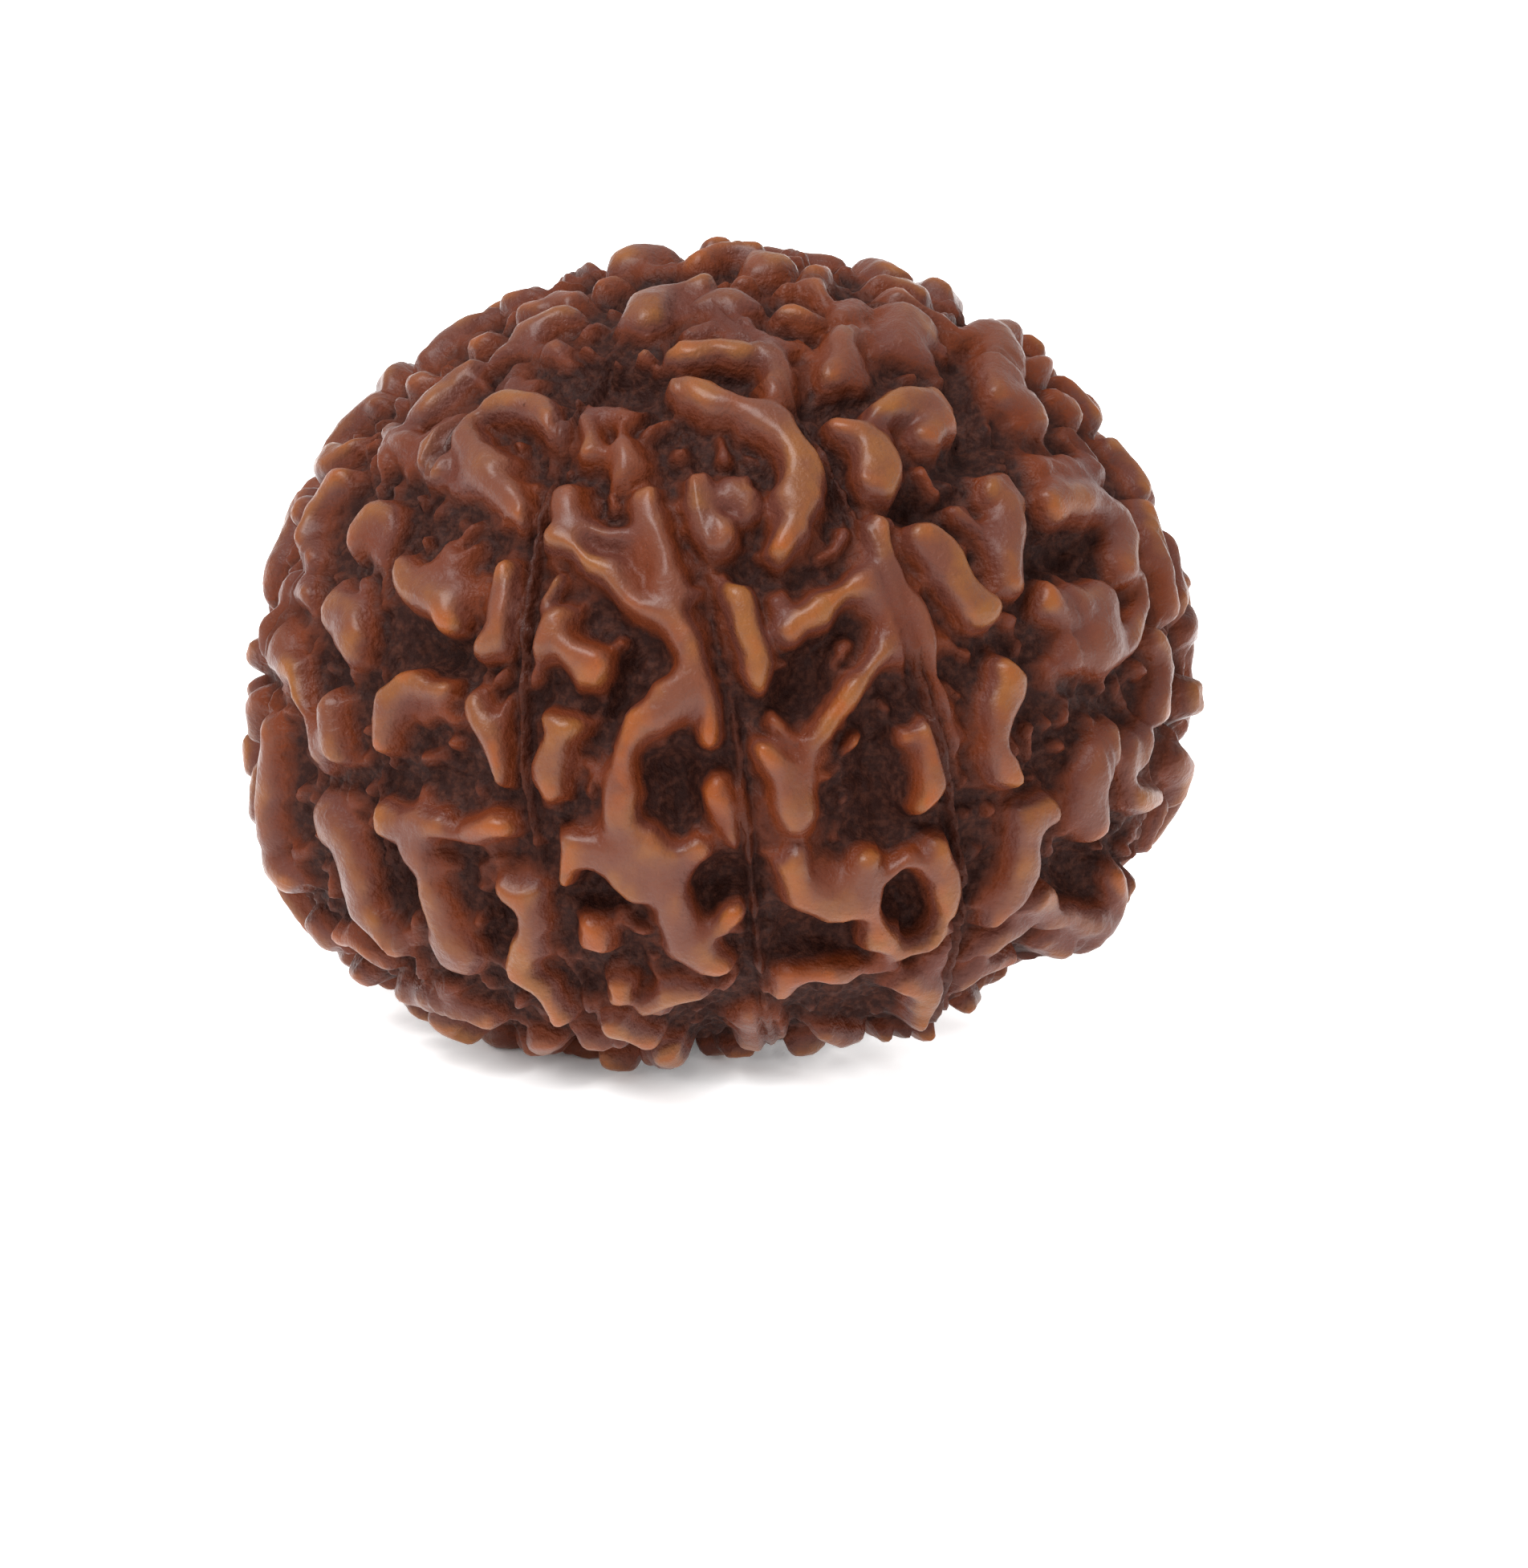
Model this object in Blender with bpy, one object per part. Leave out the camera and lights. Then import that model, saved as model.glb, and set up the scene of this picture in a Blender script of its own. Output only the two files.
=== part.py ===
"""A rudraksha: the hard stone of a fruit, in one piece, with seams from end to end and tall rounded ridges.

Lengths are in millimetres until the mesh is made, and angles are in degrees. The stone's own centre is the
middle of its widest line. It leans to one side, and stands on its lowest ridges, which are flat underneath.
"""

import math
import random

import bpy
import numpy as np
from mathutils import Matrix, Vector

# Size and form of the smooth body that the crests of the ridges touch
MM = 0.001
HALF_WIDTH = 12.57
DOME_HEIGHT = 12.5
DOME_ROUNDNESS = 2.08
BOWL_DEPTH = 8.17
BOWL_ROUNDNESS = 2.42
LEAN = 8.5
REST_CUT = 0.5

# Relief: ridges with full round tops and steep sides, each on a wider low foot
RELIEF = 1.15
RIDGE_WIDENING = 1.2
LIMB_WIDENING = 0.45
CREST_FULLNESS = 2.4
CREST_STEEPNESS = 0.6
FOOT_SHARE = 0.35
FOOT_SPREAD = 1.6
MERGE = 10.0
PIT_TOP = 0.6

# Seams between the faces
FACES = 14
FIRST_SEAM = 0.5
SEAM_WANDER = 1.1
SEAM_BENDS = 3.0
SEAM_HALF_WIDTH = 0.2
SEAM_DEPTH = 0.8
FACE_ROUNDING = 0.14
FACE_ROUNDING_WIDTH = 0.8

# Sunken ends and the channel between them
BASIN_RADIUS = 1.3
BASIN_DEPTH = 0.3
CHANNEL_RADIUS = 0.9
CHANNEL_SIDES = 24

# The side that faces the eye: its ridges are placed as seen from here
EYE_ELEVATION = 18.0
EYE_DISTANCE = 300.0
SETTLING_STEPS = 60
DRAWN_IN = 0.99

# Mesh
SPHERE_LEVEL = 7
SMOOTHING_ROUNDS = 4
TRIANGLES = 11300
SEED = 14

# Ridges of the side that faces the eye. Each has a height, as a share of the relief, and the points of its
# crest: across, up and half width, in millimetres from the stone's centre.
LEFT_RIM = [
    (0.90, [(-10.4, 6.2, 0.35), (-10.9, 5.6, 0.35), (-11.15, 4.9, 0.4), (-11.2, 4.2, 0.4)]),
    (0.90, [(-9.8, 4.9, 0.55), (-9.4, 5.3, 0.5)]),
    (0.65, [(-9.3, 5.0, 0.35), (-9.3, 4.2, 0.25)]),
    (0.80, [(-11.8, 3.5, 0.35), (-11.3, 3.1, 0.4)]),
    (0.90, [(-10.5, 2.9, 0.45), (-10.1, 2.2, 0.6), (-9.9, 1.8, 0.5)]),
    (0.85, [(-12.0, 2.4, 0.4), (-11.95, 1.7, 0.45), (-11.5, 1.0, 0.3),
            (-11.35, 0.3, 0.3), (-10.8, -1.1, 0.3)]),
    (0.95, [(-10.6, 0.0, 0.5), (-10.5, -0.5, 0.5), (-10.4, -1.1, 0.35)]),
    (0.90, [(-12.1, -0.6, 0.4), (-12.1, -1.4, 0.5), (-11.9, -3.0, 0.4),
            (-12.0, -3.8, 0.4), (-11.5, -4.4, 0.35)]),
    (0.90, [(-10.6, -2.9, 0.6), (-10.3, -3.6, 0.65), (-10.0, -4.4, 0.6),
            (-9.8, -5.2, 0.45), (-9.0, -6.2, 0.4)]),
    (0.80, [(-10.3, -6.1, 0.25), (-9.6, -6.5, 0.25), (-9.1, -7.0, 0.25)]),
    (0.80, [(-8.7, -7.6, 0.35), (-8.0, -7.8, 0.35), (-7.2, -8.1, 0.35), (-6.4, -8.3, 0.3)]),
]
LEFT_FACE = [
    (0.95, [(-7.95, 6.4, 0.35), (-7.9, 7.1, 0.4), (-7.2, 7.7, 0.4), (-6.7, 7.1, 0.4)]),
    (0.95, [(-6.7, 7.1, 0.4), (-6.4, 6.4, 0.45), (-5.8, 5.9, 0.45), (-5.3, 5.3, 0.4)]),
    (0.60, [(-7.4, 7.0, 0.5), (-7.1, 6.3, 0.5)]),
    (0.85, [(-6.2, 6.6, 0.3), (-5.7, 6.6, 0.25)]),
    (0.60, [(-8.5, 7.2, 0.3), (-8.1, 7.7, 0.3), (-7.4, 8.1, 0.3), (-6.6, 8.1, 0.3)]),
    (0.90, [(-8.3, 8.2, 0.4), (-7.7, 8.9, 0.45), (-7.2, 9.3, 0.45)]),
    (0.80, [(-9.2, 7.7, 0.35), (-8.7, 7.4, 0.35)]),
    (0.65, [(-9.2, 7.5, 0.3), (-9.3, 6.8, 0.3)]),
    (0.90, [(-8.7, 4.0, 0.4), (-8.2, 3.4, 0.55), (-7.6, 2.8, 0.6), (-7.4, 2.4, 0.45)]),
    (0.70, [(-7.6, 4.2, 0.45), (-7.2, 3.3, 0.5)]),
    (0.90, [(-5.85, 3.8, 0.3), (-5.9, 3.0, 0.35), (-6.1, 2.2, 0.45), (-6.3, 1.7, 0.45)]),
    (0.50, [(-6.9, 3.4, 0.4), (-6.4, 3.1, 0.35)]),
    (0.95, [(-9.0, 0.5, 0.45), (-9.1, -0.2, 0.45), (-9.1, -0.8, 0.4)]),
    (0.85, [(-8.9, 0.75, 0.3), (-8.2, 0.7, 0.3), (-7.5, 0.6, 0.3)]),
    (0.60, [(-8.3, 0.1, 0.5), (-7.6, -0.1, 0.4)]),
    (0.95, [(-6.6, 0.05, 0.5), (-6.3, -0.4, 0.5), (-6.1, -1.1, 0.4), (-6.0, -1.7, 0.35)]),
    (0.90, [(-9.1, -2.9, 0.35), (-8.5, -3.1, 0.4), (-7.6, -3.0, 0.4)]),
    (0.95, [(-6.7, -3.3, 0.45), (-6.2, -3.1, 0.45), (-5.7, -3.1, 0.4)]),
    (0.60, [(-7.6, -3.1, 0.3), (-6.7, -3.3, 0.3)]),
    (0.90, [(-8.4, -3.4, 0.3), (-8.1, -4.0, 0.3), (-7.9, -4.8, 0.4),
            (-7.6, -5.8, 0.65), (-7.3, -6.6, 0.65)]),
    (0.92, [(-5.9, -5.0, 0.35), (-5.3, -4.9, 0.4), (-5.2, -5.8, 0.4), (-5.5, -7.1, 0.4)]),
    (0.92, [(-5.5, -7.1, 0.4), (-4.9, -7.5, 0.35), (-4.5, -8.3, 0.4)]),
]
MIDDLE_FACE = [
    (0.85, [(-6.4, 8.1, 0.3), (-5.7, 8.35, 0.35), (-5.0, 8.1, 0.35), (-4.6, 7.5, 0.35)]),
    (0.65, [(-6.2, 9.9, 0.3), (-5.7, 10.2, 0.3), (-5.0, 9.9, 0.3), (-4.5, 10.0, 0.3)]),
    (0.90, [(-5.3, 10.4, 0.4), (-4.4, 10.8, 0.5)]),
    (0.60, [(-5.85, 8.8, 0.27), (-5.7, 9.4, 0.27)]),
    (0.60, [(-5.3, 9.1, 0.35)]),
    (0.85, [(-3.7, 7.9, 0.27), (-3.55, 7.3, 0.3), (-3.5, 6.9, 0.3)]),
    (0.85, [(-2.7, 7.2, 0.45), (-2.6, 6.6, 0.5)]),
    (0.60, [(-3.7, 8.25, 0.27), (-2.9, 8.1, 0.3)]),
    (0.85, [(-4.5, 5.9, 0.35), (-4.3, 5.4, 0.45), (-4.0, 5.1, 0.4)]),
    (0.95, [(-4.6, 4.5, 0.4), (-3.9, 4.15, 0.35), (-3.0, 3.6, 0.35), (-2.2, 2.9, 0.35), (-1.3, 2.35, 0.4)]),
    (0.95, [(-1.3, 2.35, 0.4), (-0.9, 1.7, 0.35), (-0.5, 0.8, 0.35),
            (-0.25, -0.1, 0.3), (-0.2, -0.8, 0.25)]),
    (0.90, [(-2.05, 5.8, 0.3), (-2.0, 5.1, 0.45), (-1.7, 4.4, 0.45), (-1.5, 3.6, 0.45), (-1.3, 2.9, 0.4)]),
    (0.75, [(-3.7, 5.1, 0.2), (-3.1, 4.7, 0.3), (-2.4, 4.5, 0.35), (-1.9, 4.4, 0.4)]),
    (0.62, [(-2.5, 4.0, 0.5), (-1.8, 3.3, 0.5)]),
    (0.95, [(-4.8, 1.8, 0.4), (-4.5, 2.3, 0.4), (-4.0, 1.7, 0.4), (-3.5, 1.1, 0.5)]),
    (0.90, [(-4.7, -0.1, 0.35), (-4.4, -0.5, 0.5), (-4.6, -1.3, 0.35), (-4.6, -2.1, 0.35)]),
    (0.55, [(-3.7, -1.4, 0.27), (-3.4, -1.8, 0.27)]),
    (0.98, [(-0.9, 1.0, 0.35), (-1.5, 0.4, 0.4), (-2.2, -0.3, 0.4), (-2.5, -1.0, 0.4)]),
    (0.98, [(-2.5, -1.0, 0.4), (-2.65, -1.8, 0.35), (-2.7, -2.6, 0.35), (-2.6, -3.3, 0.45)]),
    (0.70, [(-1.3, 0.2, 0.45), (-0.7, 0.3, 0.5), (-0.5, -0.3, 0.3)]),
    (0.95, [(-4.1, -3.5, 0.35), (-4.15, -4.1, 0.35), (-4.2, -4.6, 0.22)]),
    (0.93, [(-3.8, -3.8, 0.45), (-3.0, -3.9, 0.6), (-2.2, -4.0, 0.55), (-1.5, -4.2, 0.45)]),
    (0.90, [(-2.0, -3.3, 0.25), (-1.7, -3.9, 0.35)]),
    (0.93, [(-2.6, -4.4, 0.6), (-2.3, -4.9, 0.45)]),
    (0.80, [(-1.4, -4.2, 0.45), (-0.9, -3.8, 0.4), (-0.5, -3.7, 0.3)]),
    (0.92, [(-1.5, -4.6, 0.5), (-1.3, -5.4, 0.45), (-1.0, -6.2, 0.6),
            (-0.4, -6.8, 0.55), (0.1, -6.9, 0.3)]),
    (0.95, [(-3.7, -6.0, 0.4), (-3.3, -6.2, 0.45)]),
    (0.85, [(-2.9, -7.5, 0.4), (-2.9, -7.8, 0.35)]),
    (0.85, [(-2.1, -8.1, 0.35), (-1.4, -7.8, 0.4), (-0.6, -7.7, 0.4)]),
    (0.75, [(-0.3, -6.0, 0.27), (0.2, -5.6, 0.3), (0.6, -5.4, 0.27)]),
]
RIGHT_FACE = [
    (0.95, [(-2.2, 10.7, 0.5), (-1.9, 11.3, 0.6), (-1.2, 11.6, 0.5), (-0.6, 11.7, 0.4)]),
    (0.90, [(-0.3, 11.1, 0.6), (0.3, 11.2, 0.6)]),
    (0.70, [(-0.9, 10.4, 0.4), (-0.1, 10.6, 0.4), (0.6, 10.6, 0.35)]),
    (0.80, [(0.6, 11.8, 0.27)]),
    (0.90, [(2.5, 11.8, 0.35), (2.6, 11.3, 0.35)]),
    (0.80, [(1.8, 11.6, 0.3)]),
    (0.80, [(1.8, 10.9, 0.4), (2.4, 10.7, 0.35)]),
    (0.70, [(3.0, 10.8, 0.35), (3.7, 11.0, 0.35)]),
    (0.50, [(2.2, 10.2, 0.27), (2.3, 9.8, 0.27)]),
    (0.85, [(3.4, 10.3, 0.35), (3.15, 9.6, 0.4), (2.9, 9.0, 0.35)]),
    (0.60, [(3.7, 9.5, 0.35), (3.6, 9.0, 0.35)]),
    (0.90, [(-1.2, 9.6, 0.3), (-0.5, 9.7, 0.35), (0.3, 9.8, 0.35),
            (1.0, 9.7, 0.4), (1.5, 9.2, 0.4), (1.6, 8.7, 0.4)]),
    (0.65, [(0.3, 10.3, 0.27), (1.1, 10.3, 0.27), (1.7, 9.9, 0.27)]),
    (0.98, [(-1.2, 8.6, 0.45), (-0.4, 8.4, 0.55), (0.5, 8.2, 0.5), (1.2, 7.9, 0.5), (1.9, 7.3, 0.5)]),
    (0.98, [(1.9, 7.3, 0.5), (2.2, 6.6, 0.5), (2.1, 5.8, 0.5), (1.8, 5.0, 0.45), (1.6, 4.3, 0.4)]),
    (0.95, [(-0.7, 6.3, 0.35), (-0.5, 5.5, 0.4), (-0.2, 4.8, 0.45), (0.0, 4.4, 0.35)]),
    (0.72, [(0.2, 6.0, 0.4), (0.8, 5.7, 0.4), (0.6, 5.3, 0.35)]),
    (0.98, [(0.4, 2.9, 0.4), (0.55, 2.2, 0.45), (0.75, 1.5, 0.45), (0.95, 0.9, 0.4)]),
    (0.85, [(3.9, 3.7, 0.3), (3.1, 3.0, 0.3), (2.4, 2.5, 0.3), (1.8, 2.1, 0.3)]),
    (0.58, [(1.6, 3.0, 0.4), (1.7, 2.2, 0.45)]),
    (0.85, [(4.4, 1.8, 0.3), (3.9, 1.1, 0.33), (3.3, 0.4, 0.35), (2.8, -0.2, 0.33), (2.3, -0.7, 0.33)]),
    (0.90, [(4.0, 5.0, 0.3), (4.2, 4.4, 0.35), (4.7, 3.5, 0.35),
            (5.3, 2.5, 0.4), (5.6, 1.6, 0.4), (5.8, 0.8, 0.3)]),
    (0.85, [(5.8, 0.8, 0.3), (6.0, 0.1, 0.27)]),
    (0.72, [(4.0, 3.8, 0.4), (4.3, 2.9, 0.5), (4.8, 2.2, 0.5), (5.1, 1.5, 0.45)]),
    (0.95, [(5.7, -0.5, 0.45), (5.8, -1.2, 0.5), (5.7, -1.9, 0.4), (5.4, -2.6, 0.3)]),
    (0.95, [(1.0, -0.8, 0.3), (1.3, -1.5, 0.35), (1.7, -2.3, 0.45), (1.9, -2.9, 0.45)]),
    (0.72, [(2.3, -0.7, 0.33), (2.1, -1.3, 0.35), (2.2, -1.9, 0.35), (2.1, -2.5, 0.4)]),
    (0.75, [(0.1, -2.2, 0.45), (0.2, -2.8, 0.5), (0.5, -3.5, 0.3)]),
    (0.95, [(2.0, -4.1, 0.4), (2.1, -4.8, 0.5), (2.7, -5.3, 0.5),
            (3.4, -5.2, 0.5), (3.8, -4.5, 0.4), (3.8, -3.8, 0.35)]),
    (0.85, [(1.5, -7.8, 0.35), (1.9, -7.2, 0.4), (2.6, -7.1, 0.4), (3.3, -7.2, 0.4)]),
    (0.85, [(5.5, -4.4, 0.3), (4.8, -4.2, 0.27), (4.2, -4.6, 0.27), (3.95, -5.4, 0.33), (4.1, -6.1, 0.4)]),
    (0.85, [(4.1, -6.1, 0.4), (4.8, -6.5, 0.35), (5.4, -6.3, 0.35), (5.9, -5.8, 0.33)]),
    (0.95, [(5.9, -3.9, 0.45), (6.0, -4.6, 0.5), (6.1, -5.3, 0.4)]),
    (0.90, [(5.0, -7.3, 0.35), (5.7, -7.4, 0.5), (5.4, -7.9, 0.5)]),
    (0.65, [(3.9, -7.1, 0.3), (4.6, -7.0, 0.3)]),
]
RIGHT_RIM = [
    (0.90, [(4.7, 11.2, 0.4), (5.1, 10.7, 0.65), (5.0, 10.1, 0.7)]),
    (0.80, [(5.7, 10.7, 0.35), (6.3, 10.2, 0.35)]),
    (0.60, [(3.9, 10.5, 0.35), (4.1, 10.0, 0.35)]),
    (0.95, [(4.2, 8.0, 0.4), (4.9, 8.3, 0.5), (5.6, 8.3, 0.5), (5.8, 7.8, 0.5), (5.5, 7.3, 0.4)]),
    (0.95, [(3.1, 7.6, 0.4), (3.7, 7.4, 0.45), (4.2, 6.8, 0.55), (4.2, 6.3, 0.5), (3.9, 6.0, 0.3)]),
    (0.90, [(7.4, 9.9, 0.4), (7.5, 9.2, 0.5), (7.5, 8.6, 0.4), (8.1, 8.4, 0.45), (8.4, 7.9, 0.35)]),
    (0.85, [(8.3, 9.2, 0.3), (8.6, 9.1, 0.3)]),
    (0.80, [(6.7, 10.2, 0.3), (7.5, 10.1, 0.35)]),
    (0.60, [(9.5, 7.5, 0.35), (10.0, 6.9, 0.3)]),
    (0.70, [(8.6, 6.6, 0.4), (9.5, 6.6, 0.4), (10.3, 6.4, 0.35)]),
    (0.88, [(8.8, 5.6, 0.4), (9.4, 5.8, 0.45), (10.1, 5.8, 0.45),
            (10.5, 5.4, 0.4), (10.8, 4.8, 0.4), (10.8, 3.7, 0.35)]),
    (0.70, [(6.1, 5.4, 0.2), (6.9, 5.1, 0.28)]),
    (0.85, [(7.1, 6.0, 0.35), (7.6, 6.2, 0.4), (7.8, 5.7, 0.45),
            (7.7, 5.0, 0.5), (7.6, 4.3, 0.55), (7.7, 3.6, 0.5)]),
    (0.98, [(5.3, 4.7, 0.4), (5.8, 4.1, 0.45), (6.3, 3.4, 0.5), (6.9, 2.8, 0.5), (7.2, 2.7, 0.4)]),
    (0.88, [(8.9, 2.9, 0.45), (9.7, 2.7, 0.65), (10.4, 2.7, 0.65), (10.3, 1.9, 0.65), (9.6, 1.8, 0.55)]),
    (0.60, [(9.1, 1.1, 0.4)]),
    (0.85, [(11.2, 5.4, 0.3), (11.4, 4.5, 0.33), (11.7, 3.6, 0.35), (11.9, 2.9, 0.35)]),
    (0.80, [(11.2, 3.6, 0.27), (11.25, 2.8, 0.27), (11.0, 2.0, 0.28), (10.7, 1.5, 0.27)]),
    (0.88, [(11.6, 1.8, 0.33), (11.9, 1.2, 0.38), (11.7, 0.5, 0.38), (11.8, -0.2, 0.33)]),
    (0.75, [(11.5, -0.6, 0.3), (11.3, -1.2, 0.3)]),
    (0.95, [(7.8, 1.0, 0.4), (7.7, 0.5, 0.48), (7.4, -0.3, 0.3),
            (7.45, -1.1, 0.3), (7.7, -1.7, 0.38), (7.9, -2.0, 0.3)]),
    (0.88, [(10.5, -0.9, 0.55), (10.1, -1.5, 0.65), (10.0, -2.3, 0.65), (10.1, -3.1, 0.45)]),
    (0.80, [(11.1, -0.9, 0.27), (11.0, -1.8, 0.28)]),
    (1.00, [(11.1, -2.3, 0.33), (11.6, -2.3, 0.4)]),
    (0.93, [(8.9, -2.8, 0.38), (8.3, -3.1, 0.48), (8.1, -3.8, 0.42),
            (8.1, -4.4, 0.4), (7.8, -4.9, 0.38), (7.2, -5.6, 0.3)]),
    (0.85, [(8.6, -5.0, 0.35), (9.0, -5.5, 0.45), (9.7, -5.5, 0.4), (10.2, -5.0, 0.38), (10.4, -4.4, 0.3)]),
    (0.80, [(8.3, -5.7, 0.33), (7.7, -6.0, 0.33), (7.2, -6.4, 0.3)]),
    (0.75, [(8.6, -6.2, 0.28), (9.3, -6.1, 0.33), (9.9, -5.8, 0.27)]),
    (0.75, [(7.8, -6.6, 0.28), (7.0, -6.8, 0.3), (6.4, -7.3, 0.3)]),
    (0.60, [(5.6, -6.9, 0.28), (6.4, -6.6, 0.28)]),
]

# Pits between those ridges: depth below the floor, as a share of the relief, then points in the same way
PITS = [
    (0.35, [(-8.8, -4.4, 0.45), (-8.9, -5.1, 0.45)]),
    (0.35, [(-6.1, -5.7, 0.35), (-6.1, -6.2, 0.35)]),
    (0.30, [(-8.5, 1.7, 0.5), (-7.6, 1.6, 0.5)]),
    (0.30, [(-3.6, -5.0, 0.45)]),
    (0.30, [(-0.3, -4.9, 0.4), (0.3, -4.8, 0.4)]),
    (0.40, [(2.2, -6.2, 0.4), (3.1, -6.4, 0.4)]),
    (0.40, [(4.7, -5.1, 0.4), (5.2, -5.5, 0.35)]),
    (0.40, [(9.0, 4.4, 0.5), (9.8, 4.4, 0.5)]),
    (0.35, [(9.3, -4.5, 0.4), (9.9, -4.4, 0.35)]),
    (0.35, [(-2.4, 1.1, 0.5), (-2.5, 0.2, 0.4)]),
    (0.35, [(-1.3, -1.6, 0.5), (-1.1, -2.6, 0.55)]),
    (0.35, [(4.2, -0.8, 0.55), (4.3, -1.8, 0.6), (4.6, -3.3, 0.5)]),
    (0.35, [(1.9, 0.4, 0.45), (2.3, 1.0, 0.4)]),
    (0.30, [(-3.4, 9.4, 0.7), (-2.4, 9.2, 0.5)]),
    (0.30, [(6.9, 7.5, 0.5), (6.7, 8.8, 0.35)]),
    (0.30, [(5.2, 5.8, 0.45)]),
]

# Ridges around the lowest point, on which the stone stands: points across and back from that point
STANDING_RIDGES = [
    (1.00, [(-0.9, -0.2, 0.8), (0.7, 0.2, 0.8)]),
    (1.00, [(-2.4, 1.7, 0.5), (-1.2, 2.3, 0.5)]),
    (1.00, [(0.6, 2.5, 0.5), (1.7, 2.0, 0.5)]),
    (1.00, [(-2.5, -1.6, 0.5), (-1.4, -2.3, 0.5)]),
    (1.00, [(0.5, -2.4, 0.5), (1.6, -2.0, 0.5)]),
    (1.00, [(-3.5, 0.5, 0.45), (-3.4, -0.5, 0.45)]),
    (1.25, [(3.4, 2.6, 0.6), (4.4, 2.8, 0.7), (5.4, 2.3, 0.6)]),
    (1.25, [(3.3, -2.5, 0.6), (4.5, -2.7, 0.7), (5.5, -2.2, 0.6)]),
]
STANDING_CLEARANCE = 4.3

# How the seen faces are repeated on the far side and on the underside
COPIED_BELOW = 78.0
COPIED_ABOVE = -42.0
CAP_FROM = 42.0
HIDDEN_FACING = 0.1
SHIFT_DEGREES = 1.6
WIDTH_CHANGE = 0.14
HEIGHT_CHANGE = 0.05

# Short ridges that close up what is left between the others, on the far side, round the rim and underneath
FILLER_TRIES = 6000
FILLER_FACING = 0.34
FILLER_BELOW = -7.9
FILLER_HALF_LENGTH = (0.15, 0.95)
FILLER_HALF_WIDTH = (0.34, 0.6)
FILLER_WIDTH_CHANGE = 0.15
FILLER_HEIGHT = (0.75, 1.0)
FILLER_SLANT = 50.0
FILLER_BEND = 0.35
FILLER_GAP = 0.0
SAMPLE_STEP = 0.25

BROWN = (0.145, 0.048, 0.018, 1.0)


def unit(vectors):
    return vectors / np.linalg.norm(vectors, axis=-1, keepdims=True)


# The stone's axes and the eye's, in the world
TILT = math.radians(LEAN)
AXIS = np.array([-math.sin(TILT), 0.0, math.cos(TILT)])
RISE = math.radians(EYE_ELEVATION)
EYE_RIGHT = np.array([1.0, 0.0, 0.0])
EYE_UP = np.array([0.0, math.sin(RISE), math.cos(RISE)])
EYE_BACK = np.array([0.0, -math.cos(RISE), math.sin(RISE)])
FRONT = unit(EYE_BACK - AXIS * (EYE_BACK @ AXIS))
SIDE = np.cross(AXIS, FRONT)


def body_radius(sine):
    """Distance from centre to smooth body, for the sine of a latitude: a round dome over a fuller bowl."""
    cosine = np.sqrt(np.maximum(1.0 - sine**2, 1e-12))
    height = np.where(sine > 0, DOME_HEIGHT, BOWL_DEPTH)
    power = np.where(sine > 0, DOME_ROUNDNESS, BOWL_ROUNDNESS)
    return ((cosine / HALF_WIDTH) ** power + (np.abs(sine) / height) ** power) ** (-1.0 / power)


def on_body(directions):
    """The points of the smooth body in these directions from the centre."""
    directions = unit(directions)
    return directions * body_radius(directions @ AXIS)[..., None]


def longitude_latitude(points):
    directions = unit(points)
    longitude = np.degrees(np.arctan2(directions @ SIDE, directions @ FRONT))
    return longitude, np.degrees(np.arcsin(np.clip(directions @ AXIS, -1.0, 1.0)))


def at(longitude, latitude):
    """The point of the smooth body at a longitude and a latitude."""
    across = math.radians(longitude)
    up = math.radians(latitude)
    level = math.cos(across) * FRONT + math.sin(across) * SIDE
    return on_body(math.cos(up) * level + math.sin(up) * AXIS)


def seen_at(across, up):
    """The point of the smooth body seen at a place across and up. A place just off the body is drawn in."""
    while True:
        nearness = HALF_WIDTH / 2
        for _ in range(SETTLING_STEPS):
            level = (EYE_RIGHT * across + EYE_UP * up) * (1.0 - nearness / EYE_DISTANCE)
            reach = np.linalg.norm(on_body(level + EYE_BACK * nearness))
            square = reach**2 - level @ level
            nearness = (nearness + math.sqrt(max(square, 0.0))) / 2
        if square > 0:
            return on_body(level + EYE_BACK * nearness)
        across *= DRAWN_IN
        up *= DRAWN_IN


def seen_ridges(ridges):
    """Ridges given across and up, as points on the body, made wider where the body turns away."""
    placed = []
    for height, crest in ridges:
        points = np.array([seen_at(across, up) for across, up, _ in crest])
        away = 1.0 - np.clip(unit(points) @ EYE_BACK, 0.0, 1.0)
        widths = np.array([width for _, _, width in crest]) * (1.0 + LIMB_WIDENING * away)
        placed.append((height, np.column_stack([points, widths])))
    return placed


def lowest_point():
    """The lowest point of the smooth body, found by walking down its leaning side."""
    angles = np.linspace(-90.0, -60.0, 601)
    points = np.array([at(longitude, angle) for longitude in (90.0, -90.0) for angle in angles])
    return points[points[:, 2].argmin()]


def standing_ridges(foot):
    placed = []
    for height, crest in STANDING_RIDGES:
        rows = [(*on_body(foot + np.array([across, back, 0.0])), width) for across, back, width in crest]
        placed.append((height, np.array(rows)))
    return placed


def hidden_from_eye(points):
    return bool((unit(points) @ EYE_BACK < HIDDEN_FACING).all())


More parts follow.
